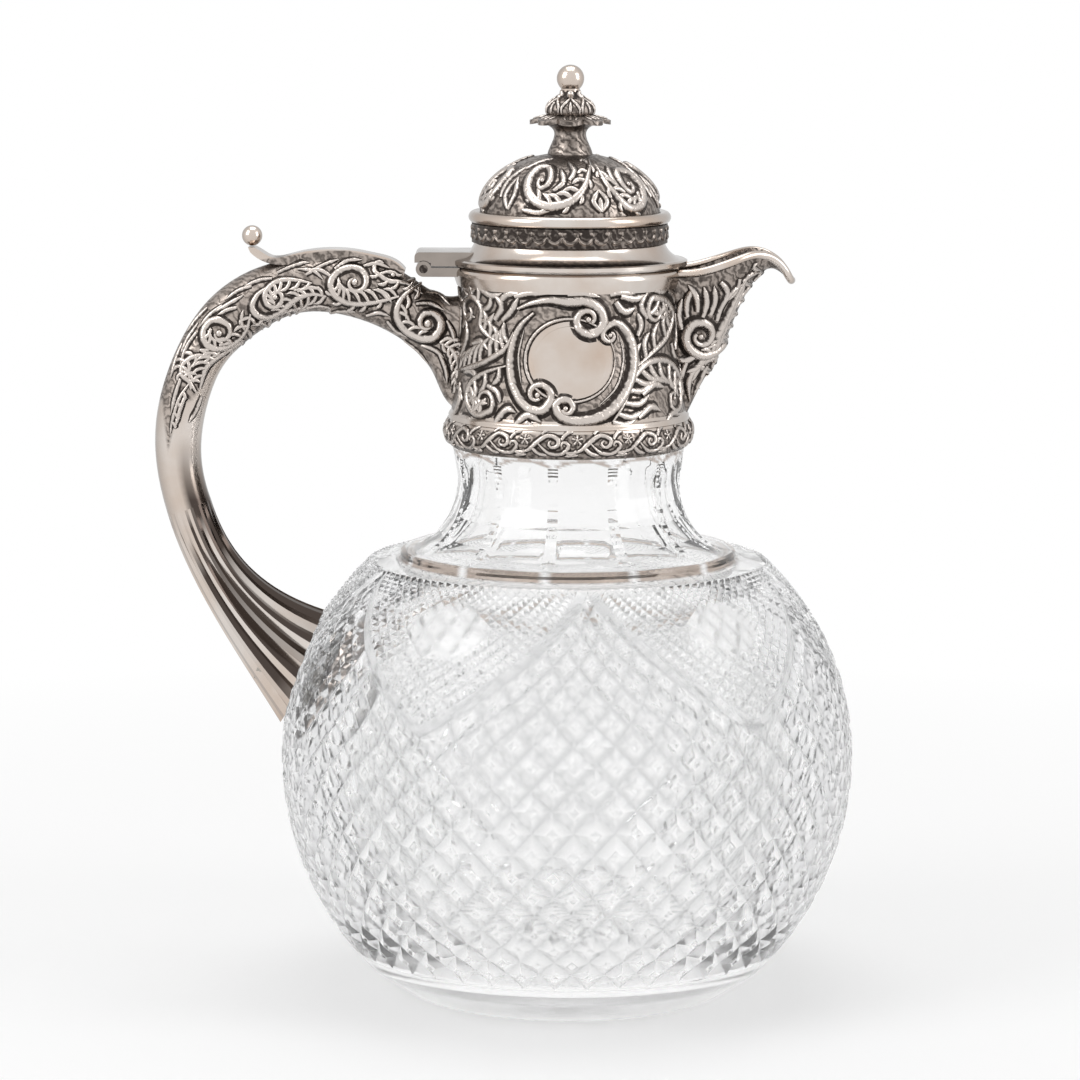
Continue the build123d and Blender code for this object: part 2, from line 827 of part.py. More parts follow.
stud_top = ball_height + finial_stud_end
nut_corner = nut_side / math.sqrt(2)
dome_inside = dome_height - sheet
nut_top = bead_top + dome_inside * math.sqrt(1 - (nut_corner / (dome_radius - sheet)) ** 2)
nut_bottom = nut_top - nut_height
stud_foot = nut_bottom - 1.0
finial_stud = Pos(0, 0, stud_foot) * Cylinder(
    finial_stud_radius, stud_top - stud_foot, align=(Align.CENTER, Align.CENTER, Align.MIN)
)
ball_neck = Pos(0, 0, leaf_cup_top) * Cylinder(
    ball_neck_radius, ball_radius, align=(Align.CENTER, Align.CENTER, Align.MIN)
)
save("finial_ball", ball_neck + Pos(0, 0, ball_height) * Sphere(ball_radius) - finial_stud)
save("finial_stud", finial_stud)
nut = Pos(0, 0, nut_bottom) * Box(
    nut_side, nut_side, nut_height, align=(Align.CENTER, Align.CENTER, Align.MIN)
)
save("finial_nut", nut - finial_stud)
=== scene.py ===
# %% [markdown]
# # Silver-mounted cut-glass claret jug
# The engineering model gives every piece its place. This notebook puts the looks on it: cut facets in the
# glass, chased scrolls on the silver, smooth turned mouldings, and the finishes. A cell explains each step
# before the code does it. Lengths are written in millimetres and turned into metres at the last moment.

# %% Load the frame
import bpy
import math
from mathutils import Matrix, Vector
from mathutils.bvhtree import BVHTree


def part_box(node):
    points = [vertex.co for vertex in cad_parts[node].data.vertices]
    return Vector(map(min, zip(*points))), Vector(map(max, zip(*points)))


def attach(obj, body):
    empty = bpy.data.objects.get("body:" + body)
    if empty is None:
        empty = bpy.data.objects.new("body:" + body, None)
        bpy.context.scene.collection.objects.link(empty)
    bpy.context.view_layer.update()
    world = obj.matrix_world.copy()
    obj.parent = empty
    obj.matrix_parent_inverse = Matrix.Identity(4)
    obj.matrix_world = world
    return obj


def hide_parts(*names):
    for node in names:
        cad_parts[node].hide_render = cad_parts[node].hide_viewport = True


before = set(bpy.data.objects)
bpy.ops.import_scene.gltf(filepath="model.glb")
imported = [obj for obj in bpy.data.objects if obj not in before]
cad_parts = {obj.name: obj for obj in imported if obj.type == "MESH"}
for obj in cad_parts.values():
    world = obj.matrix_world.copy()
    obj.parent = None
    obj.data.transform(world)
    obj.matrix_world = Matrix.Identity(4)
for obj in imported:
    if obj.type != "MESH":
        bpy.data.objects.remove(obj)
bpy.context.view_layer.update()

MM = 0.001
TAU = 2 * math.pi

# %% [markdown]
# ## Levels read from the frame
# The mouldings of the lid and collar sit on each other, so their heights are read from the frame's own
# pieces. When a piece of the frame moves, the dressed piece moves with it.


# %% Heights and radii
def top_of(node):
    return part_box(node)[1].z / MM


def foot_of(node):
    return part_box(node)[0].z / MM


def reach_of(node):
    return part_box(node)[1].y / MM


globe_radius = reach_of("glass_body")
band_foot = foot_of("lid_border_band")
bead_top = top_of("lid_bead")
dome_top = top_of("lid_dome")
disc_top = top_of("finial_leaf_disc")
cup_top = top_of("finial_leaf_cup")
ball_top = top_of("finial_ball")
print("globe radius", round(globe_radius, 1), "dome top", round(dome_top, 1), "ball top", round(ball_top, 1))

# %% [markdown]
# ## Working helpers
# An operator acts on all that is selected, so each new piece starts from an empty selection. When a piece is
# finished it is named, its faces are turned outwards, it is tied to the body that it moves with, and it is
# given a material.


# %% Selection and finishing
def clear_selection():
    bpy.ops.object.select_all(action="DESELECT")


def take(*pieces):
    clear_selection()
    for piece in pieces:
        piece.select_set(True)
    bpy.context.view_layer.objects.active = pieces[0]


def edit(piece, kind="VERT"):
    """Opens a piece for editing, with all of it selected."""
    take(piece)
    bpy.ops.object.mode_set(mode="EDIT")
    bpy.ops.mesh.select_mode(type=kind)
    bpy.ops.mesh.select_all(action="SELECT")


def done_editing():
    bpy.ops.object.mode_set(mode="OBJECT")


def face_outwards(piece, weld=0.001):
    edit(piece)
    bpy.ops.mesh.remove_doubles(threshold=weld * MM)
    bpy.ops.mesh.normals_make_consistent(inside=False)
    done_editing()


def smooth(piece, angle):
    take(piece)
    bpy.ops.object.shade_smooth_by_angle(angle=math.radians(angle))


def paint(piece, material):
    piece.data.materials.clear()
    piece.data.materials.append(material)


def dress(piece, body, material, stands_for=()):
    """Ties a finished piece to its body and its finish."""
    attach(piece, body)
    if stands_for:
        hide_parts(*stands_for)
    paint(piece, material)


def join(pieces, name):
    take(*pieces)
    bpy.ops.object.join()
    pieces[0].name = name
    return pieces[0]


def mark_points(piece, name, values):
    """Keeps a number with each point, for the material to read."""
    piece.data.attributes.new(name, "FLOAT", "POINT").data.foreach_set("value", values)


# %% [markdown]
# ## Turned glass
# The neck, the inside and the foot of the glass are round. A single point is drawn out along the outline and
# the outline is spun about the upright axis, as on a lathe. Between the few key points of a drawn line runs a
# soft curve, so that nothing shows a corner.


# %% Outline curves
def soft_line(points, per_span=6):
    """A smooth line through a few points."""
    padded = [points[0]] + list(points) + [points[-1]]
    line = []
    for span in zip(padded, padded[1:], padded[2:], padded[3:]):
        for step in range(per_span):
            t = step / per_span
            line.append(tuple(
                0.5 * (2 * b + (c - a) * t + (2 * a - 5 * b + 4 * c - d) * t * t + (3 * b - a - 3 * c + d) * t ** 3)
                for a, b, c, d in zip(*span)
            ))
    line.append(tuple(points[-1]))
    return line


def arc_line(centre, radius, start, end, steps, height=None):
    """Round stretch of an outline; the angles are in degrees, and height gives an ellipse."""
    height = radius if height is None else height
    line = []
    for step in range(steps + 1):
        angle = math.radians(start + (end - start) * step / steps)
        line.append((centre[0] + radius * math.cos(angle), centre[1] + height * math.sin(angle)))
    return line


# %% Spinning an outline
def turned(name, outline, steps, start_turn=0.0):
    """Spins (radius, height) points in mm about the upright axis."""
    clear_selection()
    bpy.ops.mesh.primitive_plane_add(size=MM, location=(0, 0, 0))
    piece = bpy.context.object
    edit(piece)
    bpy.ops.mesh.merge(type="CENTER")
    flat = Matrix.Rotation(start_turn, 3, "Z")
    places = [flat @ Vector((radius * MM, 0, height * MM)) for radius, height in outline]
    bpy.ops.transform.translate(value=places[0])
    for here, there in zip(places, places[1:]):
        bpy.ops.mesh.extrude_region_move(TRANSFORM_OT_translate={"value": there - here})
    bpy.ops.mesh.select_all(action="SELECT")
    bpy.ops.mesh.spin(steps=steps, angle=TAU, center=(0, 0, 0), axis=(0, 0, 1))
    done_editing()
    piece.name = name
    face_outwards(piece)
    return piece


# %% [markdown]
# ## Finishes
# Old silver is not one colour. Its high places are rubbed bright, and its hollows and fine chased veins hold
# a dark brown tarnish; a painted highlight on the crests and painted shade round the foot of each strand are laid
# on with it. Two effects are shared, so they are node groups: that tarnish with its painted light and shade, and the
# faint cloudiness of a hand-polished surface. The shaders themselves stay in each material.


# %% Shader helpers
def feed(tree, made, inputs):
    """Gives inputs, by name or by place, a number, a colour or the output of another node."""
    for place, value in (inputs.items() if isinstance(inputs, dict) else enumerate(inputs)):
        if isinstance(value, bpy.types.NodeSocket):
            tree.links.new(value, made.inputs[place])
        else:
            made.inputs[place].default_value = value


def shade(tree, kind, inputs=(), **settings):
    """Adds a shader node with its settings and inputs, and returns its outputs."""
    made = tree.nodes.new("ShaderNode" + kind)
    for setting, value in settings.items():
        setattr(made, setting, value)
    feed(tree, made, inputs)
    return made.outputs


def noise(tree, scale, detail, vector, roughness=0.5):
    inputs = {"Scale": scale, "Detail": detail, "Roughness": roughness, "Vector": vector}
    return shade(tree, "TexNoise", inputs)["Fac"]


def scaled(tree, value, low, high, to_low, to_high, easing="LINEAR"):
    inputs = {"Value": value, "From Min": low, "From Max": high, "To Min": to_low, "To Max": to_high}
    return shade(tree, "MapRange", inputs, interpolation_type=easing)["Result"]


def combined(tree, operation, *values, clamp=True):
    return shade(tree, "Math", values, operation=operation, use_clamp=clamp)[0]


def mixed_colour(tree, factor, first, second):
    return shade(tree, "Mix", {"Factor": factor, "A": first, "B": second}, data_type="RGBA")["Result"]


def node_group(name, inputs, outputs):
    """An empty node group, with what it is given and what it returns."""
    group = bpy.data.node_groups.new(name, "ShaderNodeTree")
    for label, kind, value in inputs:
        socket = group.interface.new_socket(name=label, in_out="INPUT", socket_type="NodeSocket" + kind)
        socket.default_value = value
    for label, kind in outputs:
        group.interface.new_socket(name=label, in_out="OUTPUT", socket_type="NodeSocket" + kind)
    return group, group.nodes.new("NodeGroupInput").outputs, group.nodes.new("NodeGroupOutput")


# %% Shared effects
vein_weight, vein_level = 0.34, 0.2


def make_tarnish_and_shade():
    """Bright colour on the high places and dark in the hollows, where the given height paints tarnish together with a
    painted highlight on crests and painted shade round strands, and dark in fine chased veins, with an uneven edge.
    """
    group, given, result = node_group(
        "tarnish and painted shade in the hollows",
        [("Vector", "Vector", (0, 0, 0)), ("Height", "Float", 1.0),
         ("Bright", "Color", (0.8, 0.8, 0.8, 1)), ("Dark", "Color", (0.05, 0.05, 0.05, 1))],
        [("Colour", "Color"), ("Roughness", "Float"), ("Stipple", "Float")],
    )
    place = given["Vector"]
    wander = scaled(group, noise(group, 420, 4, place, 0.7), 0.3, 0.7, -0.11, 0.11)
    punch = shade(group, "TexVoronoi", {"Scale": 1300, "Vector": place})["Distance"]
    winding_lines = {"Scale": 230, "Distortion": 10, "Detail": 2, "Detail Scale": 1.8, "Vector": place}
    vein = shade(group, "TexWave", winding_lines, bands_direction="DIAGONAL")["Fac"]
    engraved = combined(group, "MULTIPLY_ADD", vein, vein_weight, wander, clamp=False)
    lifted = combined(group, "SUBTRACT", engraved, vein_level, clamp=False)
    height = combined(group, "ADD", given["Height"], lifted)
    clean = scaled(group, height, 0.02, 0.86, 0, 1, "SMOOTHSTEP")
    feed(group, result, {
        "Colour": mixed_colour(group, clean, given["Dark"], given["Bright"]),
        "Roughness": scaled(group, clean, 0, 1, 0.5, 0.27),
        "Stipple": combined(group, "ADD", punch, vein),
    })
    return group


def make_polish():
    """Slow cloudy change of colour and gloss left by years of hand polishing."""
    group, given, result = node_group(
        "hand polish",
        [("Vector", "Vector", (0, 0, 0)), ("Bright", "Color", (0.8, 0.8, 0.8, 1)),
         ("Worn", "Color", (0.6, 0.6, 0.6, 1))],
        [("Colour", "Color"), ("Roughness", "Float"), ("Ripple", "Float")],
    )
    cloud = noise(group, 60, 4, given["Vector"])
    amount = scaled(group, cloud, 0.35, 0.7, 0, 1)
    feed(group, result, {
        "Colour": mixed_colour(group, amount, given["Bright"], given["Worn"]),
        "Roughness": scaled(group, cloud, 0.3, 0.7, 0.13, 0.24),
        "Ripple": noise(group, 140, 2, given["Vector"]),
    })
    return group


tarnish_and_shade_group = make_tarnish_and_shade()
polish_group = make_polish()

# %% Colours
silver_light = (0.70, 0.645, 0.60, 1)
silver_high = (0.64, 0.58, 0.535, 1)
silver_warm = (0.54, 0.47, 0.42, 1)
silver_rosy = (0.58, 0.47, 0.39, 1)
# painted dark reflection at the outline of the silver
silver_shade = (0.10, 0.085, 0.075, 1)
# painted shade for the handle's side towards the glass
silver_painted_shade = (0.075, 0.059, 0.051, 1)
hinge_light = (0.40, 0.355, 0.32, 1)
hinge_worn = (0.28, 0.245, 0.22, 1)
tarnish_and_shade_dark = (0.045, 0.037, 0.033, 1)
glass_clear = (1, 1, 1, 1)
# glass colours: painted shade in the grooves, and a painted reflection of the mount
groove_painted_shade = (0.68, 0.685, 0.69, 1)
mount_mirrored = (0.27, 0.195, 0.15, 1)
plaster_dark = (0.45, 0.42, 0.38, 1)
plaster_light = (0.62, 0.58, 0.52, 1)


# %% Materials
def new_material(name):
    material = bpy.data.materials.new(name)
    material.use_nodes = True
    tree = material.node_tree
    return material, tree, tree.nodes["Principled BSDF"]


def object_place(tree):
    return shade(tree, "TexCoord")["Object"]


def marked(tree, name):
    """The number kept with the points of the mesh."""
    return shade(tree, "Attribute", attribute_name=name)["Fac"]


def place_group(tree, group, **values):
    return shade(tree, "Group", {"Vector": object_place(tree), **values}, node_tree=group)


def painted_rim_shade(tree, colour):
    """Painted reflection and shade: the colour of silver turned away from the eye is darkened towards its outline, as
    if it mirrored the dark side of a room.
    """
    facing = shade(tree, "LayerWeight", {"Blend": 0.35})["Facing"]
    return mixed_colour(tree, scaled(tree, facing, 0.1, 0.85, 0, 0.8), colour, silver_shade)


def finish_silver(tree, shader, colour, roughness, relief, strength, distance):
    """Silver with a painted dark outline, standing in for reflected shade, and a fine relief, whose depth is in mm."""
    bump = shade(tree, "Bump", {"Strength": strength, "Distance": distance * MM, "Height": relief})
    feed(tree, shader, {
        "Metallic": 1.0, "Base Color": painted_rim_shade(tree, colour), "Roughness": roughness, "Normal": bump["Normal"],
    })


chased_relief = 0.45, 0.15
polished_relief = 0.12, 0.3


def chased_silver(name, bright, height=None):
    """Silver that is darker where its height mark is lower: tarnish, with painted shade round each strand's foot and a
    painted highlight on its crest; the height is one number, or is read from the mesh.
    """
    material, tree, shader = new_material(name)
    height = marked(tree, "height") if height is None else height
    aged = place_group(tree, tarnish_and_shade_group, Bright=bright, Dark=tarnish_and_shade_dark, Height=height)
    finish_silver(tree, shader, aged["Colour"], aged["Roughness"], aged["Stipple"], *chased_relief)
    return material


def polished_silver(name, bright, worn):
    material, tree, shader = new_material(name)
    plain = place_group(tree, polish_group, Bright=bright, Worn=worn)
    finish_silver(tree, shader, plain["Colour"], plain["Roughness"], plain["Ripple"], *polished_relief)
    return material


def clear_glass(name):
    """White glass with painted shade and a painted reflection: greyer down the grooves, by the cut depth kept with the
    points, and brown at the marked points, standing for the mount's reflection.
    """
    material, tree, shader = new_material(name)
    colour = mixed_colour(tree, marked(tree, "cut"), glass_clear, groove_painted_shade)
    colour = mixed_colour(tree, marked(tree, "painted_mount_reflection"), colour, mount_mirrored)
    height = shade(tree, "SeparateXYZ", [object_place(tree)])["Z"]
    cut_field = scaled(tree, height, 105.5 * MM, 107 * MM, 0.07, 0.02)
    worn_foot = scaled(tree, height, 9 * MM, 45 * MM, 0.16, 0.02)
    roughness = combined(tree, "MAXIMUM", cut_field, worn_foot)
    feed(tree, shader, {"Base Color": colour, "Roughness": roughness, "IOR": 1.34, "Transmission Weight": 0.96})
    return material


def plaster_bed(name):
    material, tree, shader = new_material(name)
    cloud = noise(tree, 300, 4, object_place(tree))
    feed(tree, shader, {"Roughness": 0.9, "Base Color": mixed_colour(tree, cloud, plaster_dark, plaster_light)})
    return material


chased = chased_silver("chased silver", silver_high)
ground = chased_silver("chased silver ground", silver_warm, 0.42)
dark_ground = chased_silver("dark silver ground", silver_warm, 0.12)
polished = polished_silver("polished silver", silver_light, silver_rosy)
hinge_silver = polished_silver("hinge silver", hinge_light, hinge_worn)
cut_glass = clear_glass("cut glass")
plaster = plaster_bed("plaster bed")
print("materials:", [m.name for m in (chased, ground, dark_ground, polished, hinge_silver, cut_glass, plaster)])

# %% [markdown]
# ## The cut globe
# The cutter marks a net of crossing lines on the blank, then wheels a V groove along each line. What stays
# between the grooves is a field of diamonds, each touched on top with a small cross. The net is modelled
# flat, where a diamond is a plain square of a grid: the squares are inset to make the slopes of the grooves,
# and their tops are poked inwards for the cross. Only then is the flat field wrapped round the globe. Rows
# shrink with the globe's radius, so the diamonds keep their shape up to the shoulder and down to the foot.
# The sides of the five finely cut shields are bent outwards on the way, as a cutter rounds them.

# %% Sizes of the cutting
columns = 45
rows = 22
shields = 5
shield_columns = columns // shields
shield_tip_row = rows - shield_columns
shield_bow = 0.75
fan_row = 18.9
fan_half_width, fan_half_height = 1.15, 1.7
net_foot = 11.2
net_top = shoulder_shelf = 107.2
belly_height = 58.0
above_half_height = 68.1
below_half_height = 73.0
gusset_azimuth = math.radians(5)
groove_depth = 1.15
groove_width = 0.33
flat_width = 0.04
fine_depth = 0.75
cross_depth = 0.45
fine_cuts = 2
shield_margin = 0.6
foot_slope = 1.6


def latitude_turns(height):
    """How far up the globe a height is, counted so that equal steps keep a pattern's shape."""
    half = above_half_height if height > belly_height else below_half_height
    latitude = math.asin((height - belly_height) / half)
    return math.log(math.tan(math.pi / 4 + latitude / 2))


net_low = latitude_turns(net_foot)
row_step = (latitude_turns(net_top) - net_low) / rows


def shield_offset(column):
    """Columns from the middle line of the shield that the column lies in."""
    return column % shield_columns - shield_columns / 2


def bowed(column, row):
    """Bends the straight sides of a shield outwards, so that its lower edge is round."""
    half = shield_columns / 2
    offset = shield_offset(column)
    straight = (row - shield_tip_row) / 2
    if not 0 < straight < half:
        return column
    curved = straight + shield_bow * 4 * straight * (half - straight) / half ** 2
    if abs(offset) <= straight:
        moved = offset * curved / straight
    else:
        moved = math.copysign(half - (half - abs(offset)) * (half - curved) / (half - straight), offset)
    return column + moved - offset


def on_globe(column, row, rise):
    """Place on the globe's skin; azimuth zero faces -Y and grows towards the spout."""
    latitude = 2 * math.atan(math.exp(net_low + row * row_step)) - math.pi / 2
    half = above_half_height if latitude > 0 else below_half_height
    azimuth = TAU * bowed(column, row) / columns + gusset_azimuth
    out = Vector((math.cos(latitude) / globe_radius, 0, math.sin(latitude) / half)).normalized()
    radius = globe_radius * math.cos(latitude) + rise * out.x
    height = belly_height + half * math.sin(latitude) + rise * out.z
    return Vector((radius * math.sin(azimuth), -radius * math.cos(azimuth), height)) * MM


print("net:", columns, "columns,", rows, "rows, row pitch at the belly", round(row_step * globe_radius, 2), "mm")


# %% Lay out the flat net
def net_place(x, y):
    """Column and row of a point of the square grid, which is the net turned by an eighth."""
    return (x - y) / 2, x + y


def in_shield(column, row, margin=0):
    return row > shield_tip_row + 2 * abs(shield_offset(column)) + margin


def in_fan(column, row):
    """The plain fan-shaped cut in the upper middle of each shield."""
    return (shield_offset(column) / fan_half_width) ** 2 + ((row - fan_row) / fan_half_height) ** 2 < 1


def pick_faces(piece, wanted):
    """Selects the faces whose middle passes a test, and returns how many."""
    bpy.ops.object.mode_set(mode="OBJECT")
    mesh = piece.data
    mesh.vertices.foreach_set("select", [False] * len(mesh.vertices))
    mesh.edges.foreach_set("select", [False] * len(mesh.edges))
    picked = [bool(wanted(*net_place(face.center.x, face.center.y))) for face in mesh.polygons]
    mesh.polygons.foreach_set("select", picked)
    bpy.ops.object.mode_set(mode="EDIT")
    return sum(picked)


clear_selection()
grid_reach = 60
spare = 0.6
bpy.ops.mesh.primitive_grid_add(x_subdivisions=2 * grid_reach, y_subdivisions=2 * grid_reach, size=2 * grid_reach)
net = bpy.context.object
edit(net, "FACE")
pick_faces(net, lambda column, row: not (-spare < column < columns + spare and -spare < row < rows + spare))
bpy.ops.mesh.delete(type="FACE")
bpy.ops.mesh.select_all(action="SELECT")
bpy.ops.transform.translate(value=(0, 0, -groove_depth))
done_editing()
print("squares in the net:", len(net.data.polygons))

# %% Cut the hobnails
edit(net, "FACE")
hobnails = pick_faces(net, lambda column, row: not in_shield(column, row) and 0.5 < row < rows - 0.5)
bpy.ops.mesh.inset(thickness=groove_width, depth=groove_depth, use_individual=True)
bpy.ops.mesh.inset(thickness=flat_width, depth=0, use_individual=True)
bpy.ops.mesh.poke(offset=-cross_depth)
print("hobnails:", hobnails)

# %% Cut the shields
pick_faces(net, lambda column, row: in_shield(column, row) or row < 0.5)
bpy.ops.mesh.subdivide(number_cuts=fine_cuts)
done_editing()


def beyond_border(column, row):
    """True for the small squares inside the plain border that edges each shield."""
    offset = shield_offset(column)
    half_rise = (row - shield_tip_row) / 2
    return in_shield(column, row) and min(half_rise + offset, half_rise - offset) > 1 / (fine_cuts + 1)


for vertex in net.data.vertices:
    column, row = net_place(vertex.co.x, vertex.co.y)
    if row < 0.99 and vertex.co.z < -groove_depth + 0.01:
        vertex.co.z = -groove_depth * min(1.0, max(0.0, row * foot_slope))
    elif beyond_border(column, row + 0.001) and in_shield(column, row, shield_margin):
        vertex.co.z = -fine_depth
edit(net, "FACE")
fine_diamonds = pick_faces(net, lambda column, row: beyond_border(column, row) and not in_fan(column, row))
bpy.ops.mesh.poke(offset=fine_depth)
print("fine diamonds:", fine_diamonds)

# %% Trim the net to its strip and wrap it round the globe
for x, y, direction, along in (
    (0, 0, (1, -1, 0), False), (columns, -columns, (1, -1, 0), True),
    (0, 0, (1, 1, 0), False), (rows / 2, rows / 2, (1, 1, 0), True),
):
    bpy.ops.mesh.select_all(action="SELECT")
    bpy.ops.mesh.bisect(plane_co=(x, y, 0), plane_no=direction, clear_inner=not along, clear_outer=along)
done_editing()
# Each point keeps how deep it lies in a groove; the glass material turns this into painted shade, grey down the grooves
# and at the cross of a diamond, clear on the tops and in the fans.
top_groove = 0.45
groove_shade_gain = 1.3
groove_shade_marks = []
for vertex in net.data.vertices:
    column, row = net_place(vertex.co.x, vertex.co.y)
    rise = vertex.co.z
    if row > rows - 0.01:
        rise = max(rise, -top_groove)
    if in_fan(column, row) and in_shield(column, row):
        groove_shade_marks.append(0.0)
    else:
        groove_shade_marks.append(min(1.0, -groove_shade_gain * rise / groove_depth) ** 2)
    vertex.co = on_globe(column, row, rise)
mark_points(net, "cut", groove_shade_marks)
net.name = "cut_net"
face_outwards(net, weld=0.02)
print("faces in the cut field:", len(net.data.polygons))

# %% [markdown]
# The neck has twelve flat panels with arched tops, and the ridge between two panels is nicked like a
# ladder. It is spun as one outline with the step on the shoulder and the whole inside of the jug, and then
# each point of the neck is drawn in to the nearest panel. Every second point on a ridge is pushed in for the
# nicks. The edge of the step and of each arch would mirror the tarnished mount, so a painted reflection marks these
# points brown.

# %% Shoulder, neck and inside
turn_steps = 144
flare_height = 109.8
flare_radius = 40.8
waist_height = 127.0
waist_radius = 27.7
collar_foot = 135.3
collar_foot_radius = 28.6
neck_top = top_of("glass_body")
wall = 6.6
glass_floor = 9.5
panels = 12
panel_ridge = math.radians(22)
panel_flare = 40.35
panel_waist = 26.75
panel_top = 28.95
panel_end = 133.3
nick_depth = 0.55
arch_top = 134.5
arch_drop = 1.9
arch_reflection_band = 0.95

upper_outline = [
    (47.6, shoulder_shelf - 0.2), (44.6, shoulder_shelf - 0.35), (42.7, shoulder_shelf - 0.1),
    (41.8, shoulder_shelf + 0.4), (41.5, shoulder_shelf + 1.0), (41.5, flare_height - 0.9),
    (41.3, flare_height - 0.3),
]
upper_outline += arc_line(
    (flare_radius, waist_height), flare_radius - waist_radius, 270, 180, 26, waist_height - flare_height
)
for height in (127.7, 128.3, 129, 129.6, 130.3, 130.9, 131.4, 131.8, 132.2, 132.6, 133, 133.4, 133.8, 134.2, 134.6):
    share = (height - waist_height) / (collar_foot - waist_height)
    upper_outline.append((waist_radius + (collar_foot_radius - waist_radius) * share ** 1.5, height))
upper_outline += [(collar_foot_radius, collar_foot), (25.6, collar_foot), (25.6, neck_top - 1.2)]
upper_outline += [(25.2, neck_top - 0.3), (24.4, neck_top), (23.2, neck_top), (22.3, neck_top - 0.3)]
upper_outline += [(22, neck_top - 1.2), (22, 131), (22.3, 126.5), (23.5, 121.6), (25.7, 117.4), (29.0, 113.7)]
inside, inside_radius = (0, belly_height), globe_radius - wall
upper_outline += arc_line(inside, inside_radius, 62, 0, 22, above_half_height - wall)[:-1]
upper_outline += arc_line(inside, inside_radius, 0, -45, 16, below_half_height - wall)
upper_outline += [(44.2, glass_floor + 0.7)] + [(radius, glass_floor) for radius in (42.6, 30, 12, 0)]
ridge_turn = (panel_ridge - math.pi / 2) % (TAU / turn_steps)
upper = turned("upper_glass", upper_outline, turn_steps, ridge_turn)


def panel_reach(height):
    """Distance of a panel's flat from the axis at a height."""
    if height < waist_height:
        share = (waist_height - height) / (waist_height - flare_height)
        return panel_flare - (panel_flare - panel_waist) * math.sqrt(max(0.0, 1 - share * share))
    share = (height - waist_height) / (collar_foot - waist_height)
    return panel_waist + (panel_top - panel_waist) * share ** 1.4


ridge_rows = [round(height, 2) for radius, height in upper_outline if flare_height < height < panel_end and radius > 26]
nicked_rows = ridge_rows[1::2]
reflection_marks = [0.0] * len(upper.data.vertices)
for vertex in upper.data.vertices:
    height = vertex.co.z / MM
    radius = math.hypot(vertex.co.x, vertex.co.y) / MM
    azimuth = math.atan2(vertex.co.x, -vertex.co.y)
    off_ridge = (azimuth - panel_ridge) % (TAU / panels)
    off_middle = off_ridge - math.pi / panels
    to_ridge = min(off_ridge, TAU / panels - off_ridge)
    # painted reflection of the mount on the step of the shoulder
    if shoulder_shelf + 0.2 < height < flare_height + 0.05 and 40.5 < radius < 43 and to_ridge > 0.03:
        reflection_marks[vertex.index] = 1.0
    if not (flare_height - 0.05 < height < collar_foot + 0.01 and radius > 25.7):
        continue
    arch = arch_top - arch_drop * (off_middle * panels / math.pi) ** 2
    # painted reflection of the mount along the edge of each arch
    if height > arch + 0.01:
        reflection_marks[vertex.index] = 0.9 if height < arch + arch_reflection_band and to_ridge > 0.02 else 0.0
        continue
    reach = min(radius, panel_reach(height) / math.cos(off_middle))
    if to_ridge < 0.01 and round(height, 2) in nicked_rows:
        reach -= nick_depth
    vertex.co.x *= reach / radius
    vertex.co.y *= reach / radius
mark_points(upper, "painted_mount_reflection", reflection_marks)
print("panels round the neck:", panels, "nicked rows:", len(nicked_rows))

# %% [markdown]
# The foot is a plain polished band under the diamonds, with a bevel to the flat that the jug stands on. A
# star is ground into the flat, as is usual under a cut jug, so it is cut upwards from the level of the table.

# %% Foot and star
foot_radius = 41.0
bevel_height = 6.2
star_points = 24
star_depth = 0.8
star_radius = 35.5
star_floor = 0.5
lower_outline = [(54.35, net_foot - 0.25)]
for height in (9.6, 8.0, 6.8, bevel_height):
    lower_outline.append((globe_radius * math.sqrt(1 - ((belly_height - height) / below_half_height) ** 2), height))
lower_outline += [(49.2, bevel_height - 0.7), (foot_radius + 0.5, 0.3), (foot_radius, 0), (star_radius + 1, 0)]
lower_outline += [(star_radius, 0.15)] + [(radius, star_floor) for radius in (28, 20, 12, 5, 0)]
lower = turned("lower_glass", lower_outline, turn_steps)
for vertex in lower.data.vertices:
    radius = math.hypot(vertex.co.x, vertex.co.y) / MM
    if radius < star_radius - 0.1 and vertex.co.z < 1 * MM:
        turn = math.atan2(vertex.co.y, vertex.co.x) / TAU * star_points % 1
        vertex.co.z += star_depth * MM * (1 - 2 * abs(turn - 0.5)) * min(1.0, radius / 10)


# %% Join the glass
def bridge_near(piece, height, reach):
    """Closes the gap between two rims that lie near a height."""
    edit(piece, "EDGE")
    bpy.ops.mesh.select_all(action="DESELECT")
    bpy.ops.mesh.select_non_manifold(
        extend=False, use_wire=False, use_multi_face=False, use_non_contiguous=False, use_verts=False
    )
    bpy.ops.object.mode_set(mode="OBJECT")
    mesh = piece.data
    for edge in mesh.edges:
        middle = sum(mesh.vertices[index].co.z for index in edge.vertices) / 2 / MM
        if edge.select and abs(middle - height) > reach:
            edge.select = False
            for index in edge.vertices:
                mesh.vertices[index].select = False
    chosen = sum(edge.select for edge in mesh.edges)
    bpy.ops.object.mode_set(mode="EDIT")
    bpy.ops.mesh.bridge_edge_loops()
    done_editing()
    return chosen


glass = join([net, upper, lower], "cut_glass_body")
rim_edges = bridge_near(glass, shoulder_shelf, 2), bridge_near(glass, net_foot, 1.5)
face_outwards(glass)
smooth(glass, 12)
dress(glass, "jug", cut_glass, ["glass_body"])
print("bridged edges:", rim_edges, "glass faces:", len(glass.data.polygons))

# %% [markdown]
# ## Skins that carry the chasing
# The silversmith raises the scrolls from the back of the sheet and sharpens them from the front. Here each
# scroll is a half-round strand that lies on the plain skin of the frame. A strand is drawn as a line, and a
# ray is sent down to the skin from each point of that line, so the strand follows the skin however it curves.

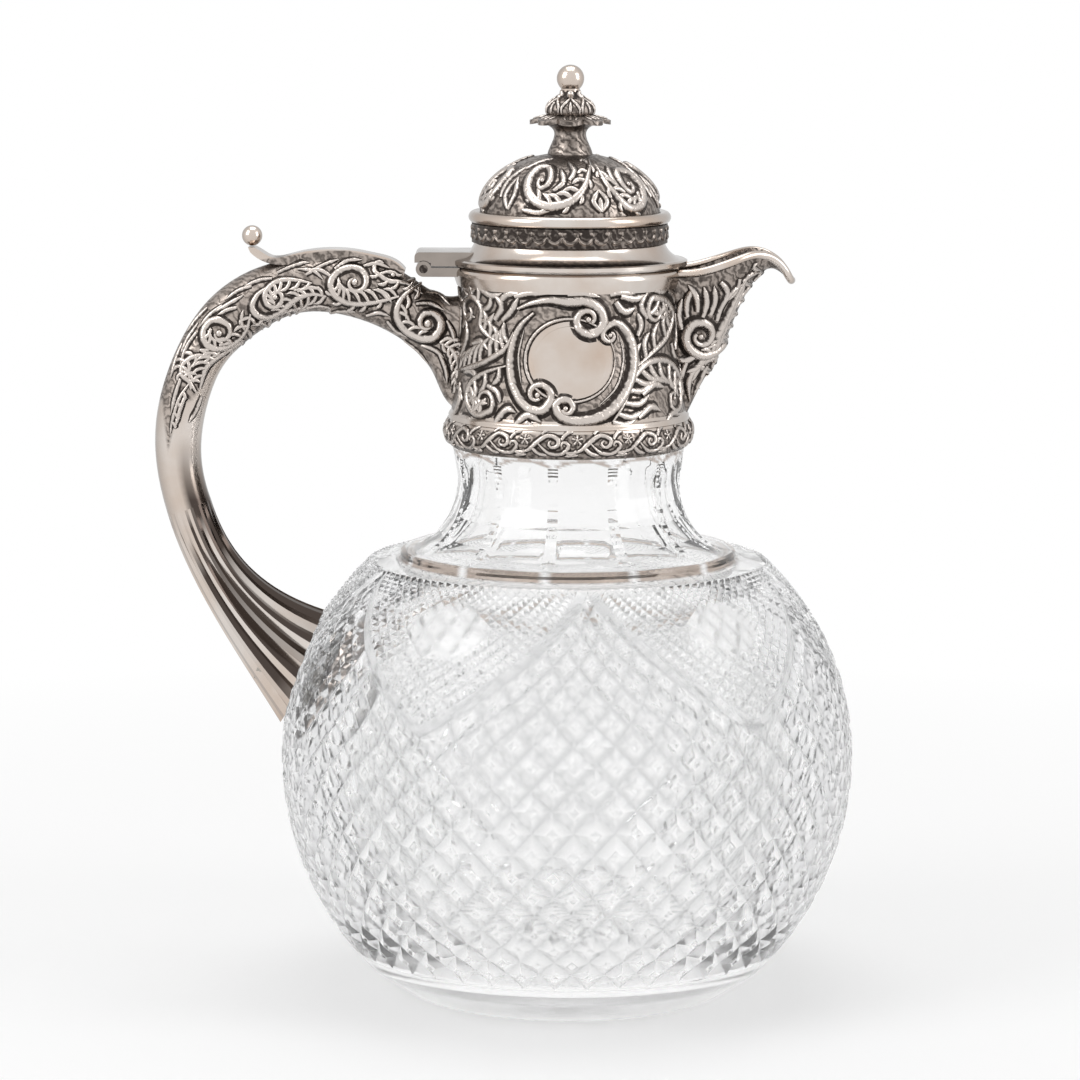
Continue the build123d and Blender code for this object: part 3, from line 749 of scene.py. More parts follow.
# %% Skins and rays
collar_reach = 27.0
far_off = 60
steepest = 0.985


def skin_of(*nodes):
    """The surface of some frame pieces, ready to be touched by rays."""
    corners, faces = [], []
    for node in nodes:
        piece = bpy.data.objects[node]
        start = len(corners)
        corners += [piece.matrix_world @ vertex.co for vertex in piece.data.vertices]
        faces += [[start + index for index in face.vertices] for face in piece.data.polygons]
    return BVHTree.FromPolygons(corners, faces)


def seen_from(hand, depth=6):
    """Rays along Y for lines drawn as (x, height) in the jug's side view; hand is the side, +1 or -1."""
    def ray(x, height):
        return Vector((x, hand * far_off, height)) * MM, Vector((0, -hand, 0)), (far_off - depth) * MM
    return ray


def round_axis(turn=0.0, radius=collar_reach):
    """Rays towards the axis for lines drawn as (way round from the front, height)."""
    def ray(around, height):
        angle = around / radius + turn
        out = Vector((math.sin(angle), -math.cos(angle), 0))
        return (out * far_off + Vector((0, 0, height))) * MM, -out, (far_off - radius) * MM
    return ray


def over_cap(foot, radius, height, turn=0.0, reach=20):
    """Rays square to a cap-shaped surface for lines drawn as (way round from the front, rise)."""
    def ray(around, rise):
        angle = around / radius + turn
        share = min(steepest, rise / height)
        level = math.sqrt(1 - share * share)
        round_way = Vector((math.sin(angle), -math.cos(angle), 0))
        place = round_way * radius * level + Vector((0, 0, foot + height * share))
        out = (round_way * level / radius + Vector((0, 0, share / height))).normalized()
        return (place + out * reach) * MM, -out, reach * MM
    return ray


def turns(count):
    """Equal turns round the axis, for a pattern that comes again."""
    return [TAU * number / count for number in range(count)]


def touch(skin, start, toward, depth):
    """Where a ray meets the skin, or the nearest place on the skin when it passes by."""
    place, normal, _, _ = skin.ray_cast(start, toward)
    if place is None:
        place, normal, _, _ = skin.find_nearest(start + toward * depth)
    return place, normal if normal.dot(toward) < 0 else -normal


# %% [markdown]
# ## Lines of the scrolls
# A scroll is a smooth line that winds up into an eye. A leaf is a row of short fronds that spring from a
# stem and curl the way it grows. Loose sprigs fill the ground between them. The points of a drawn line are
# given as a plain row of numbers: across, up, across, up, in mm.


# %% Scrolls, fronds and sprigs
def points_of(row):
    return list(zip(row[::2], row[1::2]))


def winding(line, eye, turns_made, tightness=0.3):
    """Carries a line on in a spiral round an eye."""
    last, before = line[-1], line[-2]
    out = (last[0] - eye[0], last[1] - eye[1])
    travel = (last[0] - before[0], last[1] - before[1])
    hand = 1 if out[0] * travel[1] - out[1] * travel[0] > 0 else -1
    radius = math.hypot(*out)
    start = math.atan2(out[1], out[0])
    steps = math.ceil(14 * turns_made)
    spiral = []
    for step in range(1, steps + 1):
        share = step / steps
        angle = start + hand * TAU * turns_made * share
        reach = radius * (1 - (1 - tightness) * share)
        spiral.append((eye[0] + reach * math.cos(angle), eye[1] + reach * math.sin(angle)))
    return spiral


def scroll(row, eye=None, turns_made=0.9, first_eye=None):
    line = soft_line(points_of(row))
    if eye:
        line = line + winding(line, eye, turns_made)
    if first_eye:
        line = winding(line[::-1], first_eye, turns_made)[::-1] + line
    return line


def fronds(line, side, count, length, lean, start, stop):
    """Short curls along one side of a line, longest in the middle; lean is in degrees."""
    curl = 42
    sprays = []
    for number in range(count):
        share = start + (stop - start) * number / max(1, count - 1)
        index = int(share * (len(line) - 2))
        (x, y), (next_x, next_y) = line[index], line[index + 1]
        heading = math.atan2(next_y - y, next_x - x)
        reach = length * (0.65 + 0.35 * math.sin(math.pi * (number + 0.5) / count))
        out = heading + side * math.radians(lean)
        back = heading + side * math.radians(lean - curl)
        middle = (x + 0.55 * reach * math.cos(out), y + 0.55 * reach * math.sin(out))
        tip = (middle[0] + 0.5 * reach * math.cos(back), middle[1] + 0.5 * reach * math.sin(back))
        sprays.append(soft_line([(x, y), middle, tip], 4))
    return sprays


leaf_ends = (0.75, 0.12)


def leaves(width, lift, line, *drawn):
    """Strands of the fronds along a line."""
    return [(spray, width, lift, leaf_ends) for spray in fronds(line, *drawn)]


def leafy(stem, stem_width, width, *drawn):
    """Strands of a stem with its fronds."""
    return leaves(width, 0.62, stem, *drawn) + [(stem, stem_width, 0.8)]


def sprigs(drawn, width, lift, per_span=5):
    """Strands of loose leaves, each drawn through a few points."""
    return [(soft_line(points_of(row), per_span), width, lift, leaf_ends) for row in drawn]


# %% [markdown]
# Blender has no operator that lays a rounded strand on a curved skin. So each strand starts as a plain grid,
# and its points are moved: one way along the line, the other way round the strand's section. Each point keeps
# a tone from the section, which the material reads as its height: high on the crest as a painted highlight, and
# low in a skirt round the strand's foot as painted shade, on top of the tarnish that the material follows.

# %% One strand
# The third number of each section point is its tone: 1.1 on the crest is a painted highlight, and -0.1 at the foot
# paints shade round the strand.
section = [
    (-1.8, -0.1, 0.15), (-1.7, 0.04, 0.1), (-1.02, 0.08, -0.1), (-0.78, 0.62, 0.6), (-0.36, 0.93, 0.95),
    (0.0, 1.0, 1.1), (0.36, 0.93, 0.95), (0.78, 0.62, 0.6), (1.02, 0.08, -0.1), (1.7, 0.04, 0.1),
    (1.8, -0.1, 0.15), (0.0, -0.35, 0.0), (-1.8, -0.1, 0.15),
]
strand_step = 0.55
taper = 0.3
hover = 1.5
deepest = 3.2


def evenly(line, step):
    """The same line with points at an even distance."""
    spaced, carried = [line[0]], 0.0
    for (x, y), (next_x, next_y) in zip(line, line[1:]):
        length = math.hypot(next_x - x, next_y - y)
        while length and carried + length >= step:
            share = (step - carried) / length
            x, y = x + (next_x - x) * share, y + (next_y - y) * share
            spaced.append((x, y))
            length = math.hypot(next_x - x, next_y - y)
            carried = 0.0
        carried += length
    spaced.append(line[-1])
    return spaced


def strand(skin, ray, line, width, lift, ends=(0.35, 0.45), step=strand_step):
    """Lays one half-round strand; width and lift in mm, ends are shares of the width."""
    laid = [touch(skin, *ray(*spot)) for spot in evenly(line, step)]
    last = len(laid) - 1
    order = [0, *range(last + 1), last]
    bpy.ops.mesh.primitive_grid_add(x_subdivisions=len(order) - 1, y_subdivisions=len(section) - 1, size=MM)
    piece = bpy.context.object
    spots, tarnish_and_shade_tones = [], []
    for across, up, tarnish_and_shade_tone in section:
        for column, index in enumerate(order):
            closing = column in (0, len(order) - 1)
            place, normal = laid[index]
            before, after = laid[max(0, index - 1)], laid[min(last, index + 1)]
            soft = (before[1] + normal * 2 + after[1]).normalized()
            side = soft.cross(after[0] - before[0])
            side = side.normalized() if side.length else Vector((1, 0, 0))
            share = index / last
            swell = min(1.0, ends[0] + (1 - ends[0]) * share / taper, ends[1] + (1 - ends[1]) * (1 - share) / taper)
            above = place + side * across * width * swell * (0.05 if closing else 1.0) * MM + soft * hover * MM
            foot, _, _, distance = skin.ray_cast(above, -soft)
            if foot is None or distance > deepest * MM:
                foot = above - soft * hover * MM
            rise = lift * (0.55 + 0.45 * swell) * (min(up, 0) - 0.1 if closing else up)
            spots.extend(foot + soft * rise * MM)
            tarnish_and_shade_tones.append(0.0 if closing else tarnish_and_shade_tone)
    piece.data.vertices.foreach_set("co", spots)
    mark_points(piece, "height", tarnish_and_shade_tones)
    return piece


def bead(skin, ray, spot, radius):
    """Small round eye of a scroll."""
    place, normal = touch(skin, *ray(*spot))
    bpy.ops.mesh.primitive_uv_sphere_add(
        segments=14, ring_count=8, radius=radius * MM, location=place + normal * radius * 0.3 * MM
    )
    piece = bpy.context.object
    mark_points(piece, "height", [1.0] * len(piece.data.vertices))
    return piece


def chase(name, body, skin, rays, strands, beads=(), material=chased, step=strand_step):
    """Lays every strand and bead of a pattern once for each set of rays, as one piece."""
    clear_selection()
    pieces = [strand(skin, ray, *drawn, step=step) for ray in rays for drawn in strands]
    pieces += [bead(skin, ray, spot, radius) for ray in rays for spot, radius in beads]
    piece = join(pieces, name)
    face_outwards(piece, weld=0.004)
    smooth(piece, 70)
    dress(piece, body, material)
    print(name, "strands:", len(strands) * len(rays), "faces:", len(piece.data.polygons))


# %% [markdown]
# ## Collar
# Two big C-scrolls hold the plain round cartouche, and leafy scrolls fill the collar on both sides of it.
# The same pattern comes again on the far side. The ring below the collar carries a running scroll with small
# flowers, and a plain polished moulding lies between the two.

# %% Collar scrolls
left_frame = scroll((
    -8.7, 170.5, -12.6, 166.7, -14.6, 161.3, -14.5, 155.5, -12.6, 150.8, -9.8, 147.8, -6.3, 147.2, -4.3, 149.6,
), (-7.4, 150.8))
top_frame = scroll((
    -12.8, 171.3, -9.2, 172.8, -4.9, 173.6, -0.2, 173.2, 4.1, 173.3, 7.4, 171.2, 8.3, 168.3,
), (4.4, 169.0), 1.1)
right_frame = scroll((
    8.9, 167.1, 11.4, 168.1, 14.4, 165.7, 16.1, 161.2, 15.5, 155.5, 12.3, 149.8, 7.5, 145.9, 1.7, 144.7, -2, 146,
    -3.4, 148.4,
), (-0.9, 147.7), 0.9, (9.8, 165.1))
collar_strands = [
    (left_frame, 1.2, 1.0), (top_frame, 1.25, 1.05), (right_frame, 1.35, 1.05),
    (arc_line((0.1, 159.2), 10.9, 0, 360, 40, 10.0), 0.45, 0.55),
    (scroll((-11.2, 166.4, -12.6, 160, -11.6, 153.6)), 0.3, 0.35),
    (scroll((12.2, 165, 13.3, 159.5, 11.4, 153, 7, 148.6)), 0.3, 0.35),
]
for row, eye, *drawn in (
    ((
        9.9, 144.4, 13, 148.8, 15.8, 154.5, 20.7, 158, 27.7, 157.9, 33.8, 153.9, 33.9, 149.4,
    ), (29.9, 148.6), 0.95, 0.85, -1, 11, 8.6, 70, 0.02, 0.66),
    ((
        16.9, 157.3, 22.1, 160.3, 28.7, 164.1, 31.5, 168.8, 27.6, 172.5, 22, 173.6,
    ), (23.7, 170.4), 0.95, 0.85, 1, 9, 7.8, 70, 0.04, 0.66),
    ((
        -15.6, 157.4, -23.3, 154.9, -27.9, 151.5, -28, 147.6, -23.7, 144.9, -19.2, 146.5,
    ), (-21.9, 148.4), 0.9, 0.8, 1, 8, 6.6, 70, 0.06, 0.62),
    ((
        -37.3, 154.5, -30.3, 155.6, -23.3, 157.6, -16.7, 161.2, -13.9, 165.6,
    ), None, 0.85, 0.8, 1, 10, 7.6, 64, 0.04, 0.9),
    ((
        -16.5, 162.6, -20.5, 163.7, -24.6, 166.4, -24.2, 170.6, -28, 173.2, -32, 172,
    ), (-29.9, 169.6), 0.85, 0.8, -1, 8, 5.6, 70, 0.1, 0.68),
):
    collar_strands += leafy(scroll(row, eye, 0.8), *drawn)
collar_strands += sprigs((
    (-12.5, 143.6, -9.6, 146, -6.4, 144.4), (-17.8, 143.8, -15, 147, -12.4, 146.4),
    (11.2, 173.2, 13.6, 170.6, 16.6, 171.6), (12.4, 174.4, 16.6, 173.6, 19.6, 174.6),
    (16.5, 145, 20.5, 147.4, 23.6, 146), (18, 150.4, 22, 152.6, 25.6, 151.6), (33, 160, 34.6, 164.4, 33.2, 169),
    (-34, 158.8, -31.2, 162.6, -31.6, 167), (-35, 143.8, -32.2, 147.4, -33.4, 152),
    (-19.6, 168.4, -17.4, 171.6, -19.6, 174.2),
), 0.95, 0.7)
collar_strands += sprigs((
    (-36, 170, -36.6, 165, -38.4, 161), (-33.8, 165.4, -30.6, 168.4, -27, 168.2),
    (-27.8, 162, -24.4, 162.6, -21.4, 160.6), (-21, 152.2, -18, 151, -16.8, 148.4),
    (-30.2, 143.8, -27.4, 143.6, -25, 142.9), (6.2, 142.9, 9.4, 142.6, 12.6, 143.8),
    (25.8, 143.4, 28.6, 145.2, 31.8, 144.2), (20.4, 168.8, 18.4, 172, 20.2, 175),
    (17.4, 164.6, 18.6, 167.4, 17.2, 170.2), (28.4, 174.8, 31.4, 173.6, 33.6, 171),
    (-13.6, 174.2, -9.8, 175.2, -5.6, 175), (-0.6, 175, 3.2, 175.3, 7.2, 174.4), (-24, 175, -20.4, 174, -17.2, 174.8),
    (30.6, 162, 32.4, 158.8, 36.6, 157.8), (-17.2, 168.4, -14.8, 170.6, -12.6, 174.2),
    (-26.6, 175.2, -29.4, 174.4, -33, 174.8), (-38.2, 174.8, -36.8, 172.6, -34.2, 171.6),
    (-12.6, 175, -15.8, 174.6, -18.6, 172.2), (-36.6, 150.6, -33.4, 150.4, -30.6, 147.8),
    (9.6, 174.8, 12.4, 175.4, 16.4, 174.8), (22.6, 175.4, 25.8, 174.8, 28.2, 175.2),
    (-9.8, 144, -6.2, 142.4, -2.6, 143.2), (35.6, 148.6, 36.6, 152.6, 36.2, 157),
    (34.8, 171.8, 36.4, 168, 36.4, 163.6), (-28.4, 158.8, -31.4, 158.4, -34.6, 156.8),
    (-24.8, 153.8, -28, 155.2, -31.6, 154.4),
), 0.85, 0.6)
collar_eyes = [((-7.4, 150.8), 0.75), ((4.4, 169.0), 0.8), ((9.8, 165.1), 0.6), ((-0.9, 147.7), 0.7)]
collar_eyes += [((29.9, 148.6), 0.5), ((23.7, 170.4), 0.5), ((-21.9, 148.4), 0.5)]
both_faces = [round_axis(turn) for turn in turns(2)]
chase("collar_chasing", "jug", skin_of("collar_wall"), both_faces, collar_strands, collar_eyes)

# %% Collar foot
ring_stem = scroll((-0.6, 137.4, 2, 137.6, 4.4, 139.8, 6.6, 141.4, 8.8, 140.7), (7.6, 139.6), 0.8)
ring_back = scroll((4.6, 139.4, 6.8, 137.2, 9.6, 137, 11.2, 138.6), (10.0, 139.0), 0.6)
ring_strands = [(ring_stem, 0.62, 0.5), (ring_back, 0.55, 0.45)]
ring_strands += sprigs((
    (3, 138.6, 4.6, 137, 6.4, 136.6), (5.2, 141.6, 6.6, 142.6, 8.6, 142.4), (9.6, 140.4, 10.6, 141.8, 12.2, 142.2),
    (10.6, 137.4, 11.8, 136.6, 13.2, 136.8), (-0.6, 142, 0.8, 142.8, 2.6, 142.4), (1.6, 137.8, 0.4, 136.6, -1, 136.4),
), 0.55, 0.42, 4)
flower = (1.7, 140.3)
for turn in turns(5):
    out = (math.cos(turn + 0.3), math.sin(turn + 0.3))
    petal = [(flower[0] + reach * out[0], flower[1] + reach * out[1]) for reach in (0.35, 1.25)]
    ring_strands.append((petal, 0.42, 0.36))
ring_rays = [round_axis(turn) for turn in turns(15)]
ring_skin = skin_of("collar_base_ring")
chase("collar_foot_chasing", "jug", ring_skin, ring_rays, ring_strands, [(flower, 0.4)], step=0.8)

edge_line = [(TAU * collar_reach * number / 180, 143.1) for number in range(181)]
edge_strands = [(edge_line, 0.85, 0.75, (1, 1))]
edge_skin = skin_of("collar_base_ring", "collar_wall")
chase("collar_foot_edge", "jug", edge_skin, [round_axis()], edge_strands, material=polished, step=1.0)

# %% [markdown]
# ## Handle and spout
# The scrolls of the handle and the spout are the same on both sides, so each is drawn once in the side view
# and laid twice.

# %% Handle scrolls
handle_lines, handle_strands = [], []
for row, eye, turns_made, width, lift in (
    ((
        -36.6, 175, -40.4, 172.6, -42.2, 168.8, -40.8, 164.8, -37.2, 162.4, -33.4, 162.2, -31.4, 164.6,
    ), (-34.6, 165.8), 0.9, 0.95, 0.8),
    ((
        -41.7, 172.4, -45.9, 171.3, -50.3, 170.6, -54.2, 170.8, -57.2, 172.6, -58.3, 175.4, -57, 178, -53.9, 179.4,
        -50.8, 178.8, -49.5, 176.8,
    ), (-52.4, 175.9), 0.7, 0.8, 0.65),
    ((-37.8, 174.6, -41.2, 175.8, -44.2, 176.2, -47.4, 178.2), (-46, 179.8), 0.5, 0.6, 0.5),
    ((
        -59.4, 172.4, -63, 172.9, -66.9, 171.5, -70.4, 168.6, -73.8, 167, -76.5, 167.8, -77.4, 170, -76.1, 172.8,
        -73.4, 174.6,
    ), None, 0.9, 0.8, 0.65),
    ((
        -62.9, 175.6, -67.4, 176.4, -71.6, 175.9, -74.2, 173.4, -74, 170.6, -71.8, 169.6, -70.3, 171,
    ), (-71.9, 172.2), 0.7, 0.65, 0.55),
    ((
        -77.9, 168.1, -79, 164.2, -81.7, 160.9, -85.4, 159.3, -88.5, 160.3, -89.6, 163, -88.3, 165.8, -85.8, 166.6,
        -83.3, 165.3,
    ), (-85.6, 163.3), 0.6, 0.8, 0.65),
    ((-80.9, 160.3, -85.6, 157.6, -88.9, 154.6, -90.5, 149.6), None, 0.9, 0.65, 0.5),
    ((-87.6, 158, -91.9, 157.5, -94.6, 155.5, -94.9, 153, -93.1, 151.4, -91.4, 148.6), None, 0.9, 0.6, 0.5),
    ((-31.6, 161, -28.9, 159.6, -27.2, 156.4, -27, 152.1, -28.2, 147.8), None, 0.9, 0.7, 0.5),
    ((-92.5, 151.6, -95.6, 147, -97.2, 142, -97.8, 138.5), None, 0.9, 0.4, 0.35),
    ((-60.2, 176.6, -62.6, 178.6, -66.4, 178.9), None, 0.9, 0.45, 0.4),
    ((-79.6, 172.6, -83, 170.6, -86.4, 168.6), None, 0.9, 0.5, 0.4),
    ((-90.8, 165.6, -93.4, 162, -95, 158.4), None, 0.9, 0.5, 0.4),
):
    handle_lines.append((scroll(row, eye, turns_made), 1.15 * width, lift))
for number, *drawn in (
    (0, 1, 7, 4.6, 66, 0.04, 0.5), (1, -1, 9, 5.6, 66, 0.02, 0.42), (1, 1, 5, 3.0, 60, 0.1, 0.4),
    (2, 1, 4, 3.0, 60, 0.1, 0.7), (3, 1, 9, 5.0, 66, 0.03, 0.56), (3, -1, 7, 3.6, 60, 0.06, 0.4),
    (4, 1, 8, 4.2, 66, 0.04, 0.5), (5, -1, 8, 4.4, 66, 0.04, 0.5), (5, 1, 6, 3.2, 60, 0.04, 0.4),
    (6, -1, 8, 4.4, 58, 0.06, 0.86), (7, 1, 7, 4.0, 66, 0.06, 0.84), (7, -1, 5, 2.8, 60, 0.1, 0.6),
    (8, 1, 9, 5.2, 58, 0.03, 0.88), (8, -1, 6, 3.4, 58, 0.1, 0.8), (9, 1, 5, 2.6, 55, 0.1, 0.8),
):
    handle_strands += leaves(0.55, 0.5, handle_lines[number][0], *drawn)
handle_strands += sprigs((
    (-60, 167.4, -56.4, 168.6, -52.4, 168.6), (-66.6, 168.4, -62.6, 169.8, -58.8, 169.8),
    (-49.6, 167.6, -46.6, 168.4, -43.8, 167.6), (-58.4, 177.4, -61, 178.8, -64.4, 178.6),
    (-77.6, 174.8, -81, 173.6, -84.2, 171.2), (-84.8, 170, -88, 167.6, -90.4, 164.6),
    (-91.2, 163.4, -93.8, 159.6, -95.2, 155.4), (-79.2, 163.6, -80.2, 166.2, -79.6, 169.2),
    (-66.4, 173.6, -63.4, 174.6, -60.6, 174), (-47, 174.2, -44.6, 173, -43.4, 170.8),
    (-36, 160.4, -33, 159.4, -30.6, 157.4), (-30, 166.4, -28.6, 163.8, -28, 160.8),
    (-95.2, 152, -96.6, 147.6, -97.6, 143), (-90.2, 147.6, -91.6, 144, -93.4, 141),
    (-94, 148, -95.6, 143.6, -96.6, 139.6), (-69, 165.8, -66, 166.9, -62.8, 167.2),
    (-71.4, 178, -67.6, 179.6, -63.4, 180.6), (-64.4, 177.6, -60.4, 179.8, -56.2, 181.4),
    (-57.4, 179, -54.4, 180.9, -50.6, 181.2), (-50.4, 179.6, -47.2, 180.3, -44, 179.2),
    (-46.4, 177.8, -43.6, 178.2, -40.6, 176.6), (-39.8, 175.8, -37, 176.2, -34.4, 174.8),
    (-37.6, 170.6, -34, 170.6, -30.6, 168.8), (-35, 173.2, -31.8, 172.4, -29.2, 170),
    (-44.6, 166.4, -42.6, 164, -39.6, 162.4), (-40.4, 161.4, -37, 158.8, -34.4, 155.6),
    (-31.8, 158.4, -30.2, 154.6, -29.8, 150.6), (-85, 157.6, -82.8, 159.4, -79.8, 161.4),
    (-88.6, 169.2, -91.2, 166.6, -93.6, 163.2), (-72.6, 176.6, -75.8, 176.2, -79.4, 174.6),
    (-94.8, 160.4, -96.4, 156.6, -97.6, 152), (-81.2, 169.6, -83.6, 169, -86, 167.6),
), 0.55, 0.5, 4)
handle_strands += handle_lines
handle_eyes = [((-34.6, 165.8), 1.1), ((-52.4, 175.9), 0.9), ((-43.2, 177.4), 0.7), ((-71.9, 172.2), 0.7)]
handle_eyes.append(((-85.6, 163.3), 0.9))
handle_rays = [seen_from(hand) for hand in (-1, 1)]
chase("handle_chasing", "jug", skin_of("handle", "thumb_strap"), handle_rays, handle_strands, handle_eyes)

# %% Spout leaves
spout_main = scroll((
    46.6, 176.4, 44.1, 171.5, 41.7, 166.6, 39.3, 162.4, 36.3, 159.2, 32.4, 158.2, 29.2, 160.4, 28.5, 163.7, 30.4,
    166.4, 33, 166.6,
), (32.0, 163.2), 0.8)
spout_strands = leaves(0.85, 0.65, spout_main, 1, 10, 7.4, 66, 0.05, 0.5)
spout_strands += leaves(0.7, 0.6, spout_main, -1, 7, 4.6, 60, 0.04, 0.4)
spout_strands += [(spout_main, 1.25, 0.95)]
spout_strands += sprigs((
    (28.7, 168.1, 28.5, 171.5, 29.9, 175.2), (32.5, 168.1, 33.4, 171.6, 32.6, 175.6),
    (36, 167.1, 37.2, 171, 40.2, 174.6, 43.1, 176.2), (39.8, 168.6, 41.2, 172, 44.6, 175.2),
    (36.3, 157.6, 31.8, 155.9, 29.4, 151.9, 29.6, 146.6), (33.8, 155.6, 32.4, 152.4, 30.6, 148.2),
    (35.4, 156.4, 34.2, 153, 32, 149.6), (29, 157.6, 27.4, 153, 27.2, 148), (45, 176.4, 46.6, 178, 48.6, 178.8),
    (42, 176.4, 44, 178, 46.4, 178.8), (31.2, 169.4, 30.8, 173, 28.8, 176), (34.4, 168.6, 35.4, 172.2, 35, 176),
    (36.6, 176.8, 38.4, 174.4, 37.6, 171.2), (41.4, 177.4, 40.6, 174.4, 38.6, 172.2),
    (27.4, 165, 26.6, 168.6, 27.4, 172.6), (34.6, 161, 36.6, 163, 37.4, 166),
), 0.8, 0.6)
spout_rays = [seen_from(hand, 9) for hand in (-1, 1)]
spout_skin = skin_of("spout", "collar_wall")
chase("spout_chasing", "jug", spout_skin, spout_rays, spout_strands, [((32.0, 163.2), 0.8)])

# %% [markdown]
# ## Lid
# The dome carries pairs of C-scrolls with a bud between them. The strip under the bead is punched with a
# scalloped border. The finial is a leaf bud on a thin leaf collar, with six small leaves below its ball.

# %% Dome scrolls
dome_left = scroll((
    9.2, 12.6, 6.2, 10.1, 3.2, 6.2, -0.6, 3.3, -5.7, 2.4, -10.4, 4.5, -12.9, 8, -12.4, 10.8, -8.8, 11.2,
), (-8.4, 8.2), 0.8)
dome_right = scroll((
    10.4, 11.6, 10.2, 8.7, 12.3, 4.9, 15.5, 1.9, 20.1, 2.4, 22.9, 6.4, 22.1, 9.7, 18.1, 10.3,
), (18.0, 7.2), 0.8)
dome_strands = leaves(0.7, 0.55, dome_left, -1, 8, 4.8, 66, 0.05, 0.46)
dome_strands += leaves(0.6, 0.5, dome_left, 1, 6, 2.8, 60, 0.05, 0.5)
dome_strands += leaves(0.7, 0.55, dome_right, 1, 7, 4.4, 66, 0.06, 0.46)
dome_strands += leaves(0.6, 0.5, dome_right, -1, 5, 2.8, 60, 0.06, 0.5)
dome_strands += [(dome_left, 1.2, 0.9), (dome_right, 1.2, 0.9)]
dome_strands += sprigs((
    (7.6, 1.2, 5.8, 3.6, 7.6, 6.2), (7.6, 1.2, 9.4, 3.6, 7.6, 6.2), (7.6, 1.4, 7.6, 4.4),
    (-16.6, 1.4, -15.4, 5.2, -17.4, 8.8), (-16.6, 1.4, -18.6, 4.8, -17.4, 8.8), (26, 4, 25.4, 8, 27.6, 11),
    (-4.6, 6, -2, 8.2, -3.4, 11), (-0.4, 8.4, 1.4, 10.6, -0.6, 12.4), (-12, 1.4, -8.6, 0.9, -5, 1.2),
    (14, 6.6, 13.4, 9, 15.2, 11.4), (-18, 10.6, -14.6, 12.4, -10, 12.9),
), 0.7, 0.5)
dome_eyes = [((-8.4, 8.2), 0.6), ((18.0, 7.2), 0.6), ((-2.4, 7.6), 0.5)]
dome_rays = [over_cap(bead_top, reach_of("lid_dome"), dome_top - bead_top, turn) for turn in turns(3)]
chase("dome_chasing", "lid", skin_of("lid_dome", "finial_stem"), dome_rays, dome_strands, dome_eyes)

# %% Scalloped border
scallops = 40
band_reach = reach_of("lid_border_band")
scallop_pitch = TAU * band_reach / scallops
scallop_points = ((-0.5, 2.7), (-0.3, 1.6), (0, 1.1), (0.3, 1.6), (0.5, 2.7))
scallop = soft_line([(share * scallop_pitch, band_foot + rise) for share, rise in scallop_points], 4)
tooth = [(0.5 * scallop_pitch, band_foot + rise) for rise in (3.0, 4.0)]
border_strands = [(scallop, 0.3, 0.3), (tooth, 0.6, 0.35)]
band_rays = [round_axis(turn, band_reach) for turn in turns(scallops)]
band_skin = skin_of("lid_border_band")
chase("border_scallops", "lid", band_skin, band_rays, border_strands, material=ground, step=0.7)

# %% Finial leaves
cup_petals = 7
cup_reach = reach_of("finial_leaf_cup")
cup_pitch = TAU * cup_reach / cup_petals
cup_strands = [
    (soft_line([(hand * 0.42 * cup_pitch, 0.3), (hand * 0.4 * cup_pitch, 2.0), (0, 3.9)], 5), 0.4, 0.42)
    for hand in (-1, 1)
]
cup_strands.append(([(0, 0.5), (0, 1.6), (0, 2.8)], 0.45, 0.4))
cup_rays = [over_cap(disc_top, cup_reach, cup_top - disc_top, turn, 8) for turn in turns(cup_petals)]
cup_skin = skin_of("finial_leaf_cup", "finial_leaf_disc", "finial_stem")
chase("finial_cup_leaves", "lid", cup_skin, cup_rays, cup_strands, step=0.5)

ball_foot = ball_top - 2 * reach_of("finial_ball")
neck_leaf = soft_line([(0, cup_top - 0.6), (0, cup_top + 0.6), (0, ball_foot + 0.5)], 4)
neck_rays = [round_axis(turn, 2.0) for turn in turns(6)]
neck_skin = skin_of("finial_ball", "finial_leaf_cup")
chase("finial_neck_leaves", "lid", neck_skin, neck_rays, [(neck_leaf, 0.95, 0.6, (1, 0.5))], step=0.5)


def down_on(turn):
    """Rays straight down for lines drawn as (sideways, outwards) from the axis."""
    def ray(sideways, outwards):
        spot = Matrix.Rotation(turn, 3, "Z") @ Vector((outwards, sideways, 0)) + Vector((0, 0, cup_top + 4))
        return spot * MM, Vector((0, 0, -1)), 8 * MM
    return ray


disc_strands = [([(0, 5.4), (0, 7.0), (0, 8.9)], 0.4, 0.3)]
disc_strands += [([(hand * 0.9, 5.6), (hand * 1.5, 7.2), (hand * 1.3, 8.6)], 0.32, 0.26) for hand in (-1, 1)]
disc_rays = [down_on(turn) for turn in turns(8)]
chase("finial_disc_veins", "lid", skin_of("finial_leaf_disc"), disc_rays, disc_strands, step=0.5)

# %% [markdown]
# ## Finishes of the plain pieces
# The turned mouldings, the strap and the ball are plain polished silver, and the hinge is duller. They keep the
# frame's own shape. The skins below the chasing are darker. The handle is chased above and polished below,
# its finish changes along a slanting edge, and its side towards the glass carries painted shade, as it lies in shade on
# the real one.


# %% Masks of the finishes
def facing(tree, direction):
    """How far the surface faces a direction."""
    surface = shade(tree, "NewGeometry")["Normal"]
    return shade(tree, "VectorMath", [surface, direction], operation="DOT_PRODUCT")["Value"]


def across_edge(tree, axes, along_x, along_z, edge, softness=0.6):
    """Zero on one side of a slanting edge in the side view, one on the other; the edge is in mm."""
    sideways = combined(tree, "MULTIPLY", axes["X"], along_x, clamp=False)
    place = combined(tree, "MULTIPLY_ADD", axes["Z"], along_z, sideways, clamp=False)
    return scaled(tree, place, (edge - softness) * MM, (edge + softness) * MM, 0, 1)


